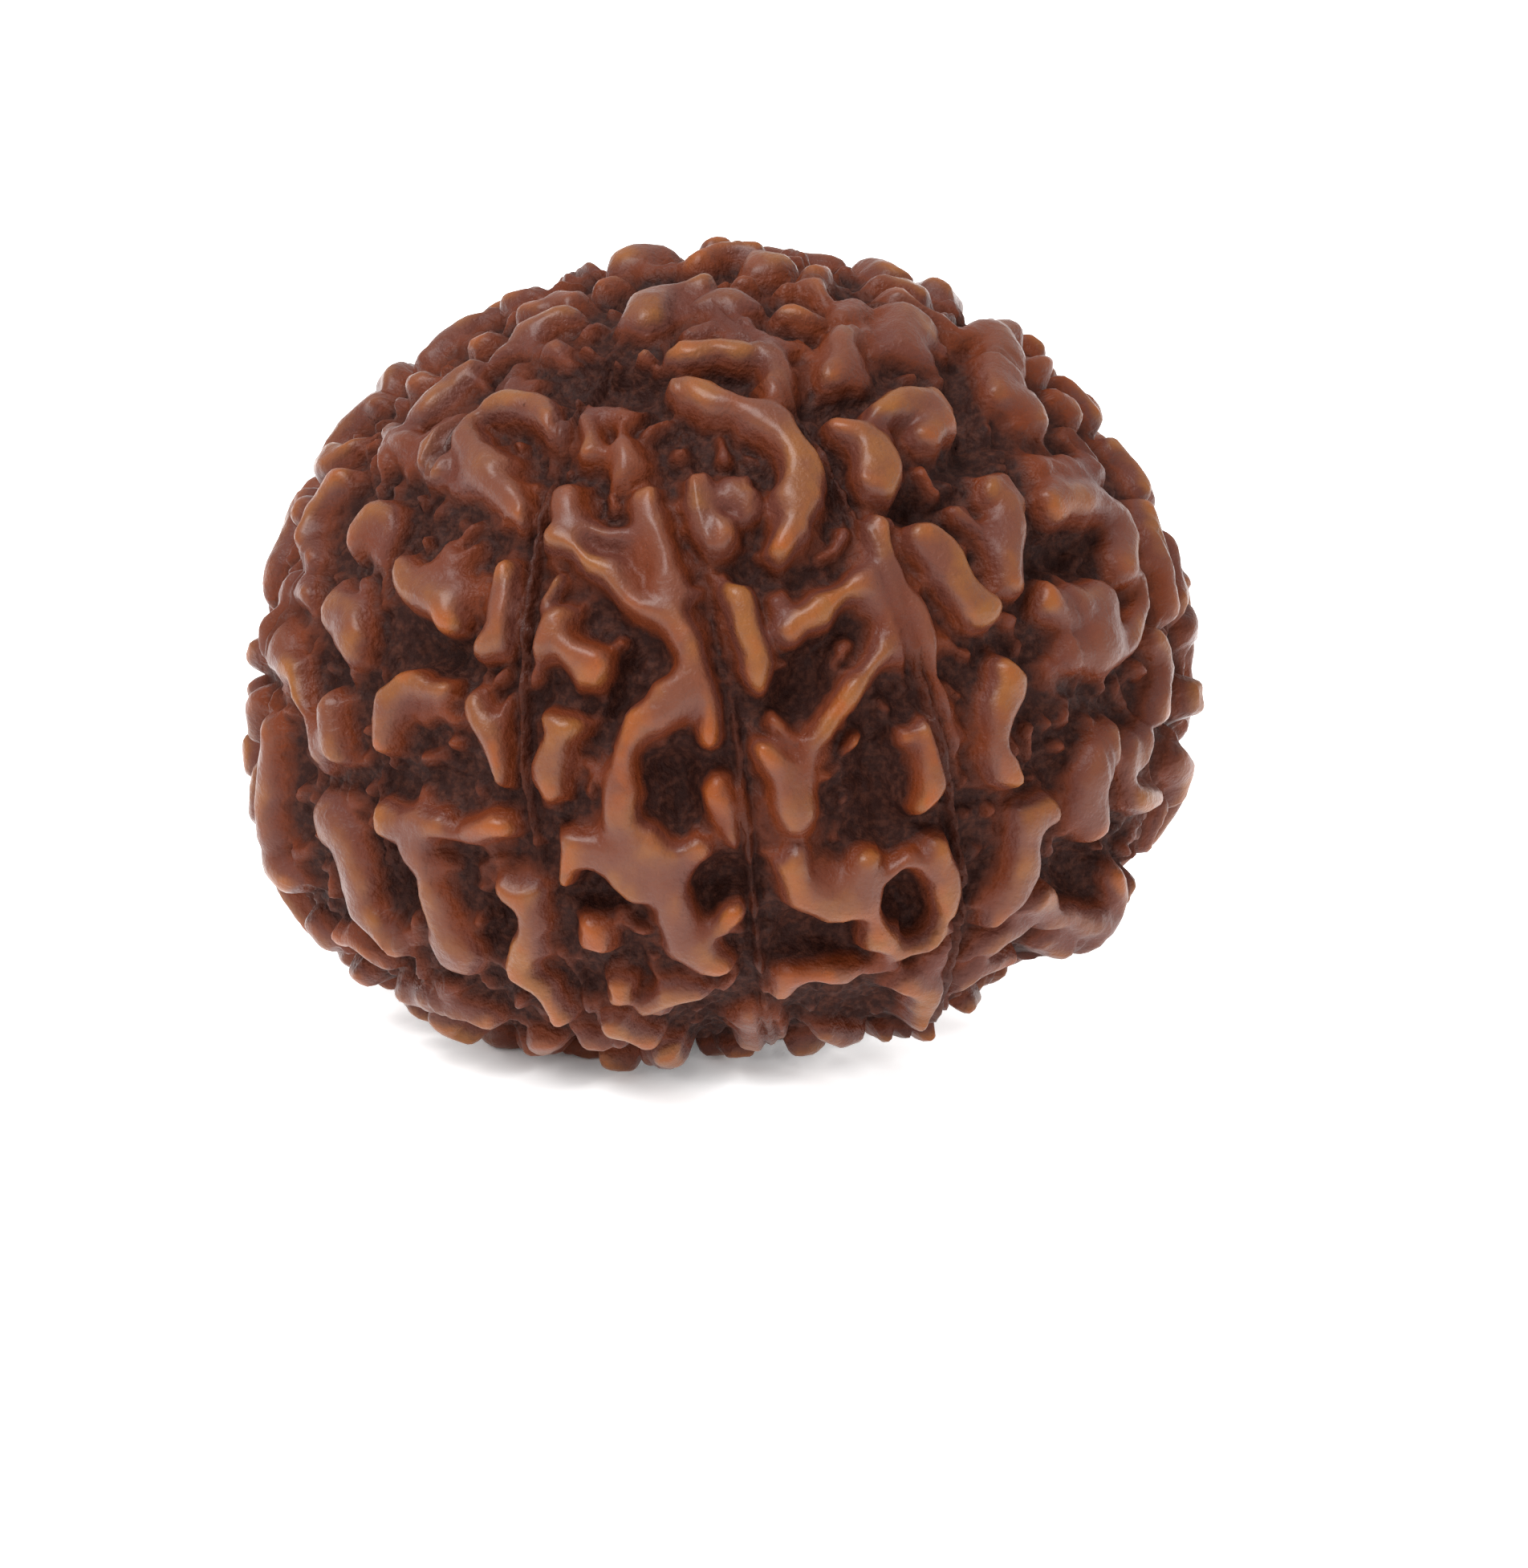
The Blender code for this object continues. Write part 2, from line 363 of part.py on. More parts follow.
def turned_copy(ridge, source_middle, target_middle, sideways, endwise, draw):
    """The ridge of one face laid on another, turned over sideways or end for end, and changed a little."""
    height, rows = ridge
    longitudes, latitudes = longitude_latitude(rows[:, :3])
    across = draw.uniform(-SHIFT_DEGREES, SHIFT_DEGREES)
    longitudes = target_middle + sideways * (longitudes - source_middle) + across
    latitudes = endwise * latitudes + draw.uniform(-SHIFT_DEGREES, SHIFT_DEGREES)
    widths = rows[:, 3] * (1.0 + draw.uniform(-WIDTH_CHANGE, WIDTH_CHANGE))
    places = np.array([at(*place) for place in zip(longitudes, latitudes)])
    return height * (1.0 + draw.uniform(-HEIGHT_CHANGE, HEIGHT_CHANGE)), np.column_stack([places, widths])


def far_ridges(seen, foot):
    """The faces and the underside that the eye doesn't see, made from the four faces that it sees best."""
    draw = random.Random(SEED)
    face_width = 360.0 / FACES
    by_face = {source: [] for source in range(-2, 2)}
    for ridge in seen:
        middle = longitude_latitude(ridge[1][:, :3].mean(axis=0))
        face = math.floor((middle[0] - FIRST_SEAM) / face_width)
        if face in by_face:
            by_face[face].append((middle[1], ridge))
    copies = []
    for target in range(FACES):
        target_middle = FIRST_SEAM + (target + 0.5) * face_width
        for endwise in (1, -1):
            source = draw.choice(sorted(by_face))
            sideways = draw.choice((1, -1))
            source_middle = FIRST_SEAM + (source + 0.5) * face_width
            for latitude, ridge in by_face[source]:
                on_side = endwise == 1 and COPIED_ABOVE < latitude < COPIED_BELOW
                on_cap = endwise == -1 and latitude > CAP_FROM
                copy = turned_copy(ridge, source_middle, target_middle, sideways, endwise, draw)
                clear = np.linalg.norm(copy[1][:, :3] - foot, axis=1).min() > STANDING_CLEARANCE
                if (on_side or on_cap) and clear and hidden_from_eye(copy[1][:, :3]):
                    copies.append(copy)
    return copies


def crest_samples(rows):
    """Points along a crest line, close together, with the half width at each."""
    samples = [rows[0]]
    for start, end in zip(rows[:-1], rows[1:]):
        steps = max(1, math.ceil(np.linalg.norm(end[:3] - start[:3]) / SAMPLE_STEP))
        samples += [start + (end - start) * step / steps for step in range(1, steps + 1)]
    return np.array(samples)


def filler_ridge(draw):
    """A short bent ridge anywhere on the body, nearer to the run of the seams than across it."""
    longitude = draw.uniform(-180.0, 180.0)
    latitude = math.degrees(math.asin(draw.uniform(-1.0, 1.0)))
    middle = at(longitude, latitude)
    outward = unit(middle)
    along = unit(AXIS - outward * (outward @ AXIS))
    slant = math.radians(draw.uniform(-FILLER_SLANT, FILLER_SLANT))
    heading = math.cos(slant) * along + math.sin(slant) * np.cross(outward, along)
    aside = np.cross(outward, heading) * draw.uniform(-FILLER_BEND, FILLER_BEND)
    half_length = draw.uniform(*FILLER_HALF_LENGTH)
    width = draw.uniform(*FILLER_HALF_WIDTH)
    places = on_body(middle + np.array([-heading * half_length, aside, heading * half_length]))
    widths = [width * (1.0 + draw.uniform(-FILLER_WIDTH_CHANGE, FILLER_WIDTH_CHANGE)) for _ in places]
    return draw.uniform(*FILLER_HEIGHT), np.column_stack([places, widths])


def fillers(ridges):
    """Short ridges thrown at the body one by one, each kept only where it has room beside the others."""
    draw = random.Random(SEED + 1)
    taken = np.vstack([crest_samples(rows) for _, rows in ridges])
    kept = []
    for _ in range(FILLER_TRIES):
        ridge = filler_ridge(draw)
        rows = crest_samples(ridge[1])
        in_view = (unit(rows[:, :3]) @ EYE_BACK > FILLER_FACING) & (rows[:, :3] @ EYE_UP > FILLER_BELOW)
        if in_view.any():
            continue
        apart = np.linalg.norm(rows[:, None, :3] - taken[None, :, :3], axis=2)
        room = apart - RIDGE_WIDENING * (rows[:, None, 3] + taken[None, :, 3])
        if room.min() > FILLER_GAP:
            kept.append(ridge)
            taken = np.vstack([taken, rows])
    return kept


def spread_over(points, rows):
    """Distance from each point to a crest line, as a share of the half width there."""
    nearest = np.full(len(points), np.inf)
    ends = rows if len(rows) > 1 else np.vstack([rows, rows])
    for start, end in zip(ends[:-1], ends[1:]):
        run = end[:3] - start[:3]
        along = np.clip((points - start[:3]) @ run / max(run @ run, 1e-9), 0.0, 1.0)
        width = start[3] + along * (end[3] - start[3])
        distance = np.linalg.norm(points - start[:3] - along[:, None] * run, axis=1)
        nearest = np.minimum(nearest, distance / (width * RIDGE_WIDENING))
    return nearest


def relief_share(points, ridges, pits):
    """Height of the surface over the floor between the ridges, as a share of the relief."""
    total = np.zeros(len(points))
    for height, rows in ridges:
        reach = rows[:, 3].max() * RIDGE_WIDENING * FOOT_SPREAD
        middle = rows[:, :3].mean(axis=0)
        radius = np.linalg.norm(rows[:, :3] - middle, axis=1).max() + reach
        near = np.flatnonzero(np.linalg.norm(points - middle, axis=1) < radius)
        spread = spread_over(points[near], rows)
        crest = (1.0 - np.minimum(spread, 1.0) ** CREST_FULLNESS) ** CREST_STEEPNESS
        foot = FOOT_SHARE * (1.0 - np.minimum(spread / FOOT_SPREAD, 1.0) ** 2) ** 2
        total[near] += (height * np.maximum(crest, foot)) ** MERGE
    share = total ** (1.0 / MERGE)
    for depth, rows in pits:
        spread = np.minimum(spread_over(points, rows), 1.0)
        share -= depth * (1.0 - spread**2) ** 2 * (share < PIT_TOP)
    return share


def seam_distance(points):
    """Distance from each point to the nearest seam, which wanders a little on its way from end to end."""
    longitude, latitude = longitude_latitude(points)
    draw = random.Random(SEED)
    nearest = np.full(len(points), np.inf)
    from_axis = np.linalg.norm(points - (points @ AXIS)[:, None] * AXIS, axis=1)
    for seam in range(FACES):
        phase = draw.uniform(0.0, 360.0)
        wander = SEAM_WANDER * np.sin(np.radians(SEAM_BENDS * latitude + phase))
        away = longitude - FIRST_SEAM - seam * 360.0 / FACES - wander
        away = (away + 180.0) % 360.0 - 180.0
        nearest = np.minimum(nearest, np.abs(np.radians(away)) * from_axis)
    return nearest, from_axis


def stone_surface(directions):
    """The sculpted surface in these directions from the stone's centre."""
    points = on_body(directions)
    foot = lowest_point()
    seen = seen_ridges(LEFT_RIM + LEFT_FACE + MIDDLE_FACE + RIGHT_FACE + RIGHT_RIM)
    ridges = seen + far_ridges(seen, foot) + standing_ridges(foot)
    ridges += fillers(ridges)
    print(len(seen), "ridges on the seen side,", len(ridges), "in all")
    share = relief_share(points, ridges, seen_ridges(PITS))
    to_seam, from_axis = seam_distance(points)
    share *= 1.0 - SEAM_DEPTH * np.exp(-((to_seam / SEAM_HALF_WIDTH) ** 2))
    basin = np.exp(-((from_axis / BASIN_RADIUS) ** 4))
    share -= basin * (share + BASIN_DEPTH)
    rounding = FACE_ROUNDING * np.exp(-((to_seam / FACE_ROUNDING_WIDTH) ** 2))
    return points - unit(points) * (RELIEF * (1.0 - share) + rounding)[:, None]


def ball_mesh():
    """A ball of near-equal triangles, whose points are the directions in which the surface is worked out."""
    bpy.ops.mesh.primitive_ico_sphere_add(subdivisions=SPHERE_LEVEL, radius=1.0)
    stone = bpy.context.object
    stone.name = "rudraksha_stone"
    stone.data.name = "rudraksha_stone"
    return stone


def cut_away(stone, cutter):
    cutter.hide_render = True
    cutter.display_type = "WIRE"
    cut = stone.modifiers.new(cutter.name, "BOOLEAN")
    cut.operation = "DIFFERENCE"
    cut.solver = "EXACT"
    cut.object = cutter


def stone_material():
    material = bpy.data.materials.new("oiled_brown_stone")
    material.use_nodes = True
    shader = material.node_tree.nodes["Principled BSDF"]
    shader.inputs["Base Color"].default_value = BROWN
    shader.inputs["Roughness"].default_value = 0.38
    shader.inputs["Metallic"].default_value = 0.0
    return material


for old in list(bpy.data.objects):
    bpy.data.objects.remove(old)

# The sculpted stone, moved so that its foot is on the ground and its box is centred over the origin
stone = ball_mesh()
count = len(stone.data.vertices)
flat = np.empty(count * 3)
stone.data.vertices.foreach_get("co", flat)
surface = stone_surface(flat.reshape(-1, 3))
centre_height = -lowest_point()[2] - REST_CUT
middle = (surface.min(axis=0) + surface.max(axis=0)) / 2
centre = np.array([-middle[0], -middle[1], centre_height])
stone.data.vertices.foreach_set("co", ((surface + centre) * MM).ravel())
stone.data.shade_smooth()
stone.data.materials.append(stone_material())

even = stone.modifiers.new("even walls", "SMOOTH")
even.factor = 0.5
even.iterations = SMOOTHING_ROUNDS

fewer = stone.modifiers.new("fewer triangles", "DECIMATE")
fewer.ratio = TRIANGLES / len(stone.data.polygons)

# The channel, drilled along the stone's leaning axis
CUTTER_LENGTH = 4 * HALF_WIDTH * MM
bpy.ops.mesh.primitive_cylinder_add(vertices=CHANNEL_SIDES, radius=CHANNEL_RADIUS * MM, depth=CUTTER_LENGTH)
channel = bpy.context.object
channel.name = "channel_cutter"
turn = Vector((0.0, 0.0, 1.0)).rotation_difference(Vector(AXIS)).to_matrix().to_4x4()
channel.matrix_world = Matrix.Translation(Vector(centre * MM)) @ turn
cut_away(stone, channel)

# The flat underside of the lowest ridges
bpy.ops.mesh.primitive_cube_add(size=1.0)
ground = bpy.context.object
ground.name = "ground_cutter"
ground.scale = (CUTTER_LENGTH, CUTTER_LENGTH, HALF_WIDTH * MM)
ground.location = (0.0, 0.0, -HALF_WIDTH * MM / 2)
cut_away(stone, ground)
print("centre of the stone, mm:", np.round(centre, 3), "lowest, mm:", np.round(lowest_point() + centre, 3))
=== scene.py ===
# %% [markdown]
# # A rudraksha bead
# A rudraksha is the hard stone of a small round fruit. It grows in one piece: a rounded body, seams that
# run over it from end to end, and between the seams a crowd of tall lumpy ridges with deep dark valleys. A
# narrow channel runs through it from end to end. This lesson first loads the solid model of the stone as a
# fixed frame, then lays a finer stone over it, and ends with its oiled finish, the light and the camera.

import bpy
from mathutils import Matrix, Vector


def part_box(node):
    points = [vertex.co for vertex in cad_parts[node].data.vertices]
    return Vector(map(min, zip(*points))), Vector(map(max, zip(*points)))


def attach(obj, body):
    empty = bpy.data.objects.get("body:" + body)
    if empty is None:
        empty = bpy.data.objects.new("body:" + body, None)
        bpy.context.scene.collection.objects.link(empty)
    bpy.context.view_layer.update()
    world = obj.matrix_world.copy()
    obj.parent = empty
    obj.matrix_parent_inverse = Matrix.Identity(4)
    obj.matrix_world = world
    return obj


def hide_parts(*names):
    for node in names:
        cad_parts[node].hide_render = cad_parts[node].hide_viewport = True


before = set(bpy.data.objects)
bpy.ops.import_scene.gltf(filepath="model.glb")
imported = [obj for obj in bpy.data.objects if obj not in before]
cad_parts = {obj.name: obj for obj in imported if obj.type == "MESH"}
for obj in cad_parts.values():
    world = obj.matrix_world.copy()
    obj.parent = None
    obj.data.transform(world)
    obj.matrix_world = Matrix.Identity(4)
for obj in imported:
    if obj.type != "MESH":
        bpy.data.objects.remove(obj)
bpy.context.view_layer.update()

# %% Load what Blender brings
import math
import random

import bpy
import numpy as np
from mathutils import Matrix, Vector

# %% [markdown]
# ## The smooth body
# The tallest ridges all reach one smooth form, a round dome over a flatter bowl. Two half super-ellipsoids
# give it: the power sets how full the shoulders are. The stone leans to one side on the table, so
# everything is measured along its own axis. Lengths are in millimetres until the mesh is made.

# %% Size and lean of the body
MM = 0.001
HALF_WIDTH = 12.57
DOME_HEIGHT = 12.5
DOME_ROUNDNESS = 2.08
BOWL_DEPTH = 8.17
BOWL_ROUNDNESS = 2.42
LEAN = math.radians(8.5)
REST_CUT = 0.5
RELIEF = 1.15
AXIS = np.array([-math.sin(LEAN), 0.0, math.cos(LEAN)])
SMALLEST = 1e-12


def unit(vectors):
    return vectors / np.linalg.norm(vectors, axis=-1, keepdims=True)


def body_radius(sine):
    """Distance from the centre to the smooth body, for the sine of a latitude."""
    cosine = np.sqrt(np.maximum(1.0 - sine**2, SMALLEST))
    height = np.where(sine > 0, DOME_HEIGHT, BOWL_DEPTH)
    power = np.where(sine > 0, DOME_ROUNDNESS, BOWL_ROUNDNESS)
    return ((cosine / HALF_WIDTH) ** power + (np.abs(sine) / height) ** power) ** (-1.0 / power)


def on_body(directions):
    """The points of the smooth body in these directions from the centre."""
    directions = unit(directions)
    return directions * body_radius(directions @ AXIS)[..., None]


print("body from end to end:", round(DOME_HEIGHT + BOWL_DEPTH, 2), "mm")

# %% [markdown]
# ## The eye and the seams
# The side that faces the camera is laid out as it looks: each ridge gets its place across and up in the
# view, and a ray from the eye finds the point of the body behind that place. The other sides are laid out
# by longitude and latitude. Fourteen seams divide the stone into faces, and longitude 0 points at the eye.

# %% Find places on the body
EYE_ELEVATION = math.radians(18.0)
EYE_DISTANCE = 300.0
EYE_RIGHT = np.array([1.0, 0.0, 0.0])
EYE_UP = np.array([0.0, math.sin(EYE_ELEVATION), math.cos(EYE_ELEVATION)])
EYE_BACK = np.array([0.0, -math.cos(EYE_ELEVATION), math.sin(EYE_ELEVATION)])
FRONT = unit(EYE_BACK - AXIS * (EYE_BACK @ AXIS))
SIDE = np.cross(AXIS, FRONT)
FACES = 14
FACE_WIDTH = 360.0 / FACES
FIRST_SEAM = 0.5
SETTLING_STEPS = 60
DRAWN_IN = 0.99


def longitude_latitude(points):
    directions = unit(points)
    longitude = np.degrees(np.arctan2(directions @ SIDE, directions @ FRONT))
    return longitude, np.degrees(np.arcsin(np.clip(directions @ AXIS, -1.0, 1.0)))


def at(longitude, latitude):
    """The point of the smooth body at a longitude and a latitude."""
    across = math.radians(longitude)
    up = math.radians(latitude)
    level = math.cos(across) * FRONT + math.sin(across) * SIDE
    return on_body(math.cos(up) * level + math.sin(up) * AXIS)


def seen_at(across, up):
    """The point of the smooth body seen at a place across and up. A place just off the body is drawn in."""
    while True:
        towards = HALF_WIDTH / 2
        for _ in range(SETTLING_STEPS):
            level = (EYE_RIGHT * across + EYE_UP * up) * (1.0 - towards / EYE_DISTANCE)
            reach = np.linalg.norm(on_body(level + EYE_BACK * towards))
            square = reach**2 - level @ level
            towards = (towards + math.sqrt(max(square, 0.0))) / 2
        if square > 0:
            return on_body(level + EYE_BACK * towards)
        across *= DRAWN_IN
        up *= DRAWN_IN


print("a face is", round(math.radians(FACE_WIDTH) * HALF_WIDTH, 2), "mm wide at the widest line")

# %% [markdown]
# ## The ridges that face the eye
# Every real stone has its own pattern, so this side can't follow a rule: its ridges are set down one by
# one, as a carver would mark them out. Each has a height, as a share of the relief, and the points that its
# crest runs through: across, up and half width. A ridge of one point is a round lump.

# %% Ridges of the left edge and the first face
LEFT_RIM = [
    (0.90, [(-10.4, 6.2, 0.35), (-10.9, 5.6, 0.35), (-11.15, 4.9, 0.4), (-11.2, 4.2, 0.4)]),
    (0.90, [(-9.8, 4.9, 0.55), (-9.4, 5.3, 0.5)]),
    (0.65, [(-9.3, 5.0, 0.35), (-9.3, 4.2, 0.25)]),
    (0.80, [(-11.8, 3.5, 0.35), (-11.3, 3.1, 0.4)]),
    (0.90, [(-10.5, 2.9, 0.45), (-10.1, 2.2, 0.6), (-9.9, 1.8, 0.5)]),
    (0.85, [(-12.0, 2.4, 0.4), (-11.95, 1.7, 0.45), (-11.5, 1.0, 0.3),
            (-11.35, 0.3, 0.3), (-10.8, -1.1, 0.3)]),
    (0.95, [(-10.6, 0.0, 0.5), (-10.5, -0.5, 0.5), (-10.4, -1.1, 0.35)]),
    (0.90, [(-12.1, -0.6, 0.4), (-12.1, -1.4, 0.5), (-11.9, -3.0, 0.4),
            (-12.0, -3.8, 0.4), (-11.5, -4.4, 0.35)]),
    (0.90, [(-10.6, -2.9, 0.6), (-10.3, -3.6, 0.65), (-10.0, -4.4, 0.6),
            (-9.8, -5.2, 0.45), (-9.0, -6.2, 0.4)]),
    (0.80, [(-10.3, -6.1, 0.25), (-9.6, -6.5, 0.25), (-9.1, -7.0, 0.25)]),
    (0.80, [(-8.7, -7.6, 0.35), (-8.0, -7.8, 0.35), (-7.2, -8.1, 0.35), (-6.4, -8.3, 0.3)]),
]
LEFT_FACE = [
    (0.95, [(-7.95, 6.4, 0.35), (-7.9, 7.1, 0.4), (-7.2, 7.7, 0.4), (-6.7, 7.1, 0.4)]),
    (0.95, [(-6.7, 7.1, 0.4), (-6.4, 6.4, 0.45), (-5.8, 5.9, 0.45), (-5.3, 5.3, 0.4)]),
    (0.60, [(-7.4, 7.0, 0.5), (-7.1, 6.3, 0.5)]),
    (0.85, [(-6.2, 6.6, 0.3), (-5.7, 6.6, 0.25)]),
    (0.60, [(-8.5, 7.2, 0.3), (-8.1, 7.7, 0.3), (-7.4, 8.1, 0.3), (-6.6, 8.1, 0.3)]),
    (0.90, [(-8.3, 8.2, 0.4), (-7.7, 8.9, 0.45), (-7.2, 9.3, 0.45)]),
    (0.80, [(-9.2, 7.7, 0.35), (-8.7, 7.4, 0.35)]),
    (0.65, [(-9.2, 7.5, 0.3), (-9.3, 6.8, 0.3)]),
    (0.90, [(-8.7, 4.0, 0.4), (-8.2, 3.4, 0.55), (-7.6, 2.8, 0.6), (-7.4, 2.4, 0.45)]),
    (0.70, [(-7.6, 4.2, 0.45), (-7.2, 3.3, 0.5)]),
    (0.90, [(-5.85, 3.8, 0.3), (-5.9, 3.0, 0.35), (-6.1, 2.2, 0.45), (-6.3, 1.7, 0.45)]),
    (0.50, [(-6.9, 3.4, 0.4), (-6.4, 3.1, 0.35)]),
    (0.95, [(-9.0, 0.5, 0.45), (-9.1, -0.2, 0.45), (-9.1, -0.8, 0.4)]),
    (0.85, [(-8.9, 0.75, 0.3), (-8.2, 0.7, 0.3), (-7.5, 0.6, 0.3)]),
    (0.60, [(-8.3, 0.1, 0.5), (-7.6, -0.1, 0.4)]),
    (0.95, [(-6.6, 0.05, 0.5), (-6.3, -0.4, 0.5), (-6.1, -1.1, 0.4), (-6.0, -1.7, 0.35)]),
    (0.90, [(-9.1, -2.9, 0.35), (-8.5, -3.1, 0.4), (-7.6, -3.0, 0.4)]),
    (0.95, [(-6.7, -3.3, 0.45), (-6.2, -3.1, 0.45), (-5.7, -3.1, 0.4)]),
    (0.60, [(-7.6, -3.1, 0.3), (-6.7, -3.3, 0.3)]),
    (0.90, [(-8.4, -3.4, 0.3), (-8.1, -4.0, 0.3), (-7.9, -4.8, 0.4),
            (-7.6, -5.8, 0.65), (-7.3, -6.6, 0.65)]),
    (0.92, [(-5.9, -5.0, 0.35), (-5.3, -4.9, 0.4), (-5.2, -5.8, 0.4), (-5.5, -7.1, 0.4)]),
    (0.92, [(-5.5, -7.1, 0.4), (-4.9, -7.5, 0.35), (-4.5, -8.3, 0.4)]),
]
print(len(LEFT_RIM) + len(LEFT_FACE), "ridges on the left")

# %% Ridges of the two middle faces
MIDDLE_FACE = [
    (0.85, [(-6.4, 8.1, 0.3), (-5.7, 8.35, 0.35), (-5.0, 8.1, 0.35), (-4.6, 7.5, 0.35)]),
    (0.65, [(-6.2, 9.9, 0.3), (-5.7, 10.2, 0.3), (-5.0, 9.9, 0.3), (-4.5, 10.0, 0.3)]),
    (0.90, [(-5.3, 10.4, 0.4), (-4.4, 10.8, 0.5)]),
    (0.60, [(-5.85, 8.8, 0.27), (-5.7, 9.4, 0.27)]),
    (0.60, [(-5.3, 9.1, 0.35)]),
    (0.85, [(-3.7, 7.9, 0.27), (-3.55, 7.3, 0.3), (-3.5, 6.9, 0.3)]),
    (0.85, [(-2.7, 7.2, 0.45), (-2.6, 6.6, 0.5)]),
    (0.60, [(-3.7, 8.25, 0.27), (-2.9, 8.1, 0.3)]),
    (0.85, [(-4.5, 5.9, 0.35), (-4.3, 5.4, 0.45), (-4.0, 5.1, 0.4)]),
    (0.95, [(-4.6, 4.5, 0.4), (-3.9, 4.15, 0.35), (-3.0, 3.6, 0.35), (-2.2, 2.9, 0.35), (-1.3, 2.35, 0.4)]),
    (0.95, [(-1.3, 2.35, 0.4), (-0.9, 1.7, 0.35), (-0.5, 0.8, 0.35),
            (-0.25, -0.1, 0.3), (-0.2, -0.8, 0.25)]),
    (0.90, [(-2.05, 5.8, 0.3), (-2.0, 5.1, 0.45), (-1.7, 4.4, 0.45), (-1.5, 3.6, 0.45), (-1.3, 2.9, 0.4)]),
    (0.75, [(-3.7, 5.1, 0.2), (-3.1, 4.7, 0.3), (-2.4, 4.5, 0.35), (-1.9, 4.4, 0.4)]),
    (0.62, [(-2.5, 4.0, 0.5), (-1.8, 3.3, 0.5)]),
    (0.95, [(-4.8, 1.8, 0.4), (-4.5, 2.3, 0.4), (-4.0, 1.7, 0.4), (-3.5, 1.1, 0.5)]),
    (0.90, [(-4.7, -0.1, 0.35), (-4.4, -0.5, 0.5), (-4.6, -1.3, 0.35), (-4.6, -2.1, 0.35)]),
    (0.55, [(-3.7, -1.4, 0.27), (-3.4, -1.8, 0.27)]),
    (0.98, [(-0.9, 1.0, 0.35), (-1.5, 0.4, 0.4), (-2.2, -0.3, 0.4), (-2.5, -1.0, 0.4)]),
    (0.98, [(-2.5, -1.0, 0.4), (-2.65, -1.8, 0.35), (-2.7, -2.6, 0.35), (-2.6, -3.3, 0.45)]),
    (0.70, [(-1.3, 0.2, 0.45), (-0.7, 0.3, 0.5), (-0.5, -0.3, 0.3)]),
    (0.95, [(-4.1, -3.5, 0.35), (-4.15, -4.1, 0.35), (-4.2, -4.6, 0.22)]),
    (0.93, [(-3.8, -3.8, 0.45), (-3.0, -3.9, 0.6), (-2.2, -4.0, 0.55), (-1.5, -4.2, 0.45)]),
    (0.90, [(-2.0, -3.3, 0.25), (-1.7, -3.9, 0.35)]),
    (0.93, [(-2.6, -4.4, 0.6), (-2.3, -4.9, 0.45)]),
    (0.80, [(-1.4, -4.2, 0.45), (-0.9, -3.8, 0.4), (-0.5, -3.7, 0.3)]),
    (0.92, [(-1.5, -4.6, 0.5), (-1.3, -5.4, 0.45), (-1.0, -6.2, 0.6),
            (-0.4, -6.8, 0.55), (0.1, -6.9, 0.3)]),
    (0.95, [(-3.7, -6.0, 0.4), (-3.3, -6.2, 0.45)]),
    (0.85, [(-2.9, -7.5, 0.4), (-2.9, -7.8, 0.35)]),
    (0.85, [(-2.1, -8.1, 0.35), (-1.4, -7.8, 0.4), (-0.6, -7.7, 0.4)]),
    (0.75, [(-0.3, -6.0, 0.27), (0.2, -5.6, 0.3), (0.6, -5.4, 0.27)]),
]
